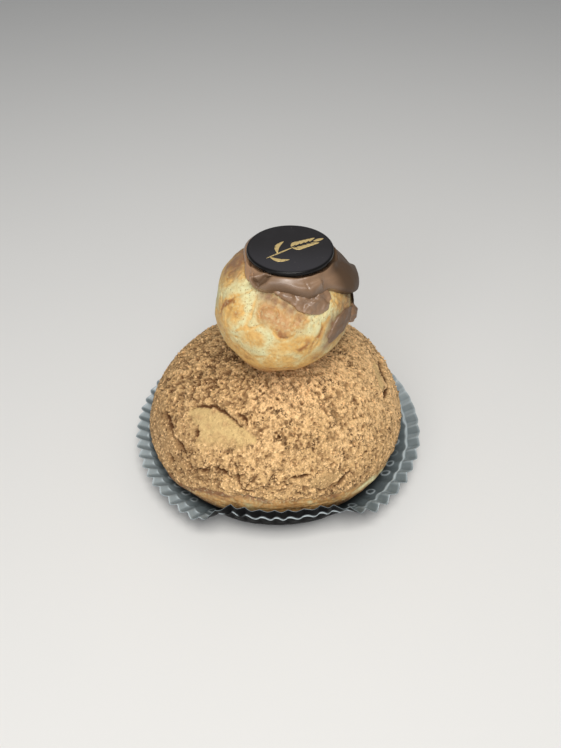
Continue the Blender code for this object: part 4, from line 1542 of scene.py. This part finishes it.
class LARGE_CHOUX_OT_add(bpy.types.Operator):
    """Adds the large bun's skin, its craquelin crust and the crumbs on it"""
    bl_idname = "religieuse.large_choux"
    bl_label = "Large Choux"

    def execute(self, context):
        settings = context.scene.religieuse
        skin = add_large_choux(settings)
        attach(skin, "root")
        crust = add_craquelin(settings)
        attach(crust, "root")
        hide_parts("large_choux")
        crumbs = add_crumbs(settings)
        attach(crumbs, "root")
        return {"FINISHED"}


class SMALL_CHOUX_OT_add(bpy.types.Operator):
    """Adds the small bun on top"""
    bl_idname = "religieuse.small_choux"
    bl_label = "Small Choux"

    def execute(self, context):
        bun = add_small_choux(context.scene.religieuse)
        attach(bun, "root")
        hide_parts("small_choux")
        return {"FINISHED"}


class ICING_OT_add(bpy.types.Operator):
    """Adds the icing cap and the thin runs below its hem"""
    bl_idname = "religieuse.icing"
    bl_label = "Chocolate Icing"

    def execute(self, context):
        settings = context.scene.religieuse
        cap = add_icing_cap(settings)
        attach(cap, "root")
        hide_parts("icing_cap")
        runs = add_icing_runs(settings)
        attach(runs, "root")
        return {"FINISHED"}


class CHOCOLATE_DISC_OT_add(bpy.types.Operator):
    """Adds the chocolate disc and its gold sprig"""
    bl_idname = "religieuse.chocolate_disc"
    bl_label = "Chocolate Disc"

    def execute(self, context):
        settings = context.scene.religieuse
        disc = add_chocolate_disc(settings)
        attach(disc, "root")
        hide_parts("chocolate_disc")
        sprig = add_gold_sprig(settings)
        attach(sprig, "root")
        return {"FINISHED"}


def add_soft_light(name, place, target, size, power, colour):
    """A square area light at a place in metres, turned to its target."""
    lamp = bpy.data.lights.new(name, "AREA")
    lamp.size = size
    lamp.energy = power
    lamp.color = colour
    light = bpy.data.objects.new(name, lamp)
    light.location = place
    aim = np.array(target) - np.array(place)
    light.rotation_euler = (
        math.atan2(math.hypot(aim[0], aim[1]), -aim[2]), 0.0, math.atan2(aim[1], aim[0]) - math.pi / 2.0,
    )
    bpy.context.scene.collection.objects.link(light)
    return light


class STAGE_OT_add(bpy.types.Operator):
    """Adds the floor, the lights, the surroundings and the camera"""
    bl_idname = "religieuse.stage"
    bl_label = "Stage"

    def execute(self, context):
        scene = context.scene
        settings = scene.religieuse
        half = 1.5
        drop = -0.00005
        mesh = bpy.data.meshes.new("floor")
        corners = [(-half, -half, drop), (half, -half, drop), (half, half, drop), (-half, half, drop)]
        mesh.from_pydata(corners, [], [(0, 1, 2, 3)])
        mesh.materials.append(floor_material(settings.colours))
        floor = bpy.data.objects.new("studio_floor", mesh)
        scene.collection.objects.link(floor)

        target = (0.0, 0.0, 0.04)
        power = settings.key_power
        add_soft_light("key", (0.03, -0.23, 0.54), target, 0.26, power, (1.0, 0.98, 0.95))
        add_soft_light("fill", (-0.15, -0.55, 0.25), target, 0.40, 0.55 * power, (0.97, 0.98, 1.0))
        world = bpy.data.worlds.new("studio")
        world.use_nodes = True
        background = world.node_tree.nodes["Background"]
        background.inputs["Color"].default_value = (0.92, 0.95, 1.0, 1.0)
        background.inputs["Strength"].default_value = 0.24
        scene.world = world
        scene.view_settings.view_transform = "Standard"

        lens = bpy.data.cameras.new("camera")
        lens.lens = 32.46
        lens.sensor_width = 36.0
        lens.clip_start = 0.005
        camera = bpy.data.objects.new("camera", lens)
        camera.location = (0.00309, -0.13328, 0.15235)
        camera.rotation_euler = (math.radians(46.75), 0.0, math.radians(0.93))
        scene.collection.objects.link(camera)
        scene.camera = camera
        return {"FINISHED"}


class RELIGIEUSE_PT_panel(bpy.types.Panel):
    """Buttons for the pieces and the values that shape them"""
    bl_idname = "RELIGIEUSE_PT_panel"
    bl_label = "Religieuse"
    bl_space_type = "VIEW_3D"
    bl_region_type = "UI"
    bl_category = "Pastry"

    def draw(self, context):
        settings = context.scene.religieuse
        for operator in PIECE_OPERATORS:
            self.layout.operator(operator.bl_idname)
        for group in (settings.case, settings.crust, settings.icing, settings.disc, settings.colours):
            box = self.layout.box()
            for name in group.bl_rna.properties.keys():
                if name not in {"rna_type", "name"}:
                    box.prop(group, name)
        self.layout.prop(settings, "key_power")


SETTINGS_GROUPS = (CaseSizes, CrustSizes, IcingSizes, DiscSizes, PastryColours, ReligieuseSettings)
PIECE_OPERATORS = (
    PAPER_CASE_OT_add, LARGE_CHOUX_OT_add, SMALL_CHOUX_OT_add, ICING_OT_add, CHOCOLATE_DISC_OT_add,
    STAGE_OT_add,
)


def register():
    for entry in (*SETTINGS_GROUPS, *PIECE_OPERATORS, RELIGIEUSE_PT_panel):
        bpy.utils.register_class(entry)
    bpy.types.Scene.religieuse = bpy.props.PointerProperty(type=ReligieuseSettings)


def unregister():
    del bpy.types.Scene.religieuse
    for entry in reversed((*SETTINGS_GROUPS, *PIECE_OPERATORS, RELIGIEUSE_PT_panel)):
        bpy.utils.unregister_class(entry)


def main():
    register()
    bpy.ops.religieuse.paper_case()
    bpy.ops.religieuse.large_choux()
    bpy.ops.religieuse.small_choux()
    bpy.ops.religieuse.icing()
    bpy.ops.religieuse.chocolate_disc()
    bpy.ops.religieuse.stage()


if __name__ == "__main__":
    main()
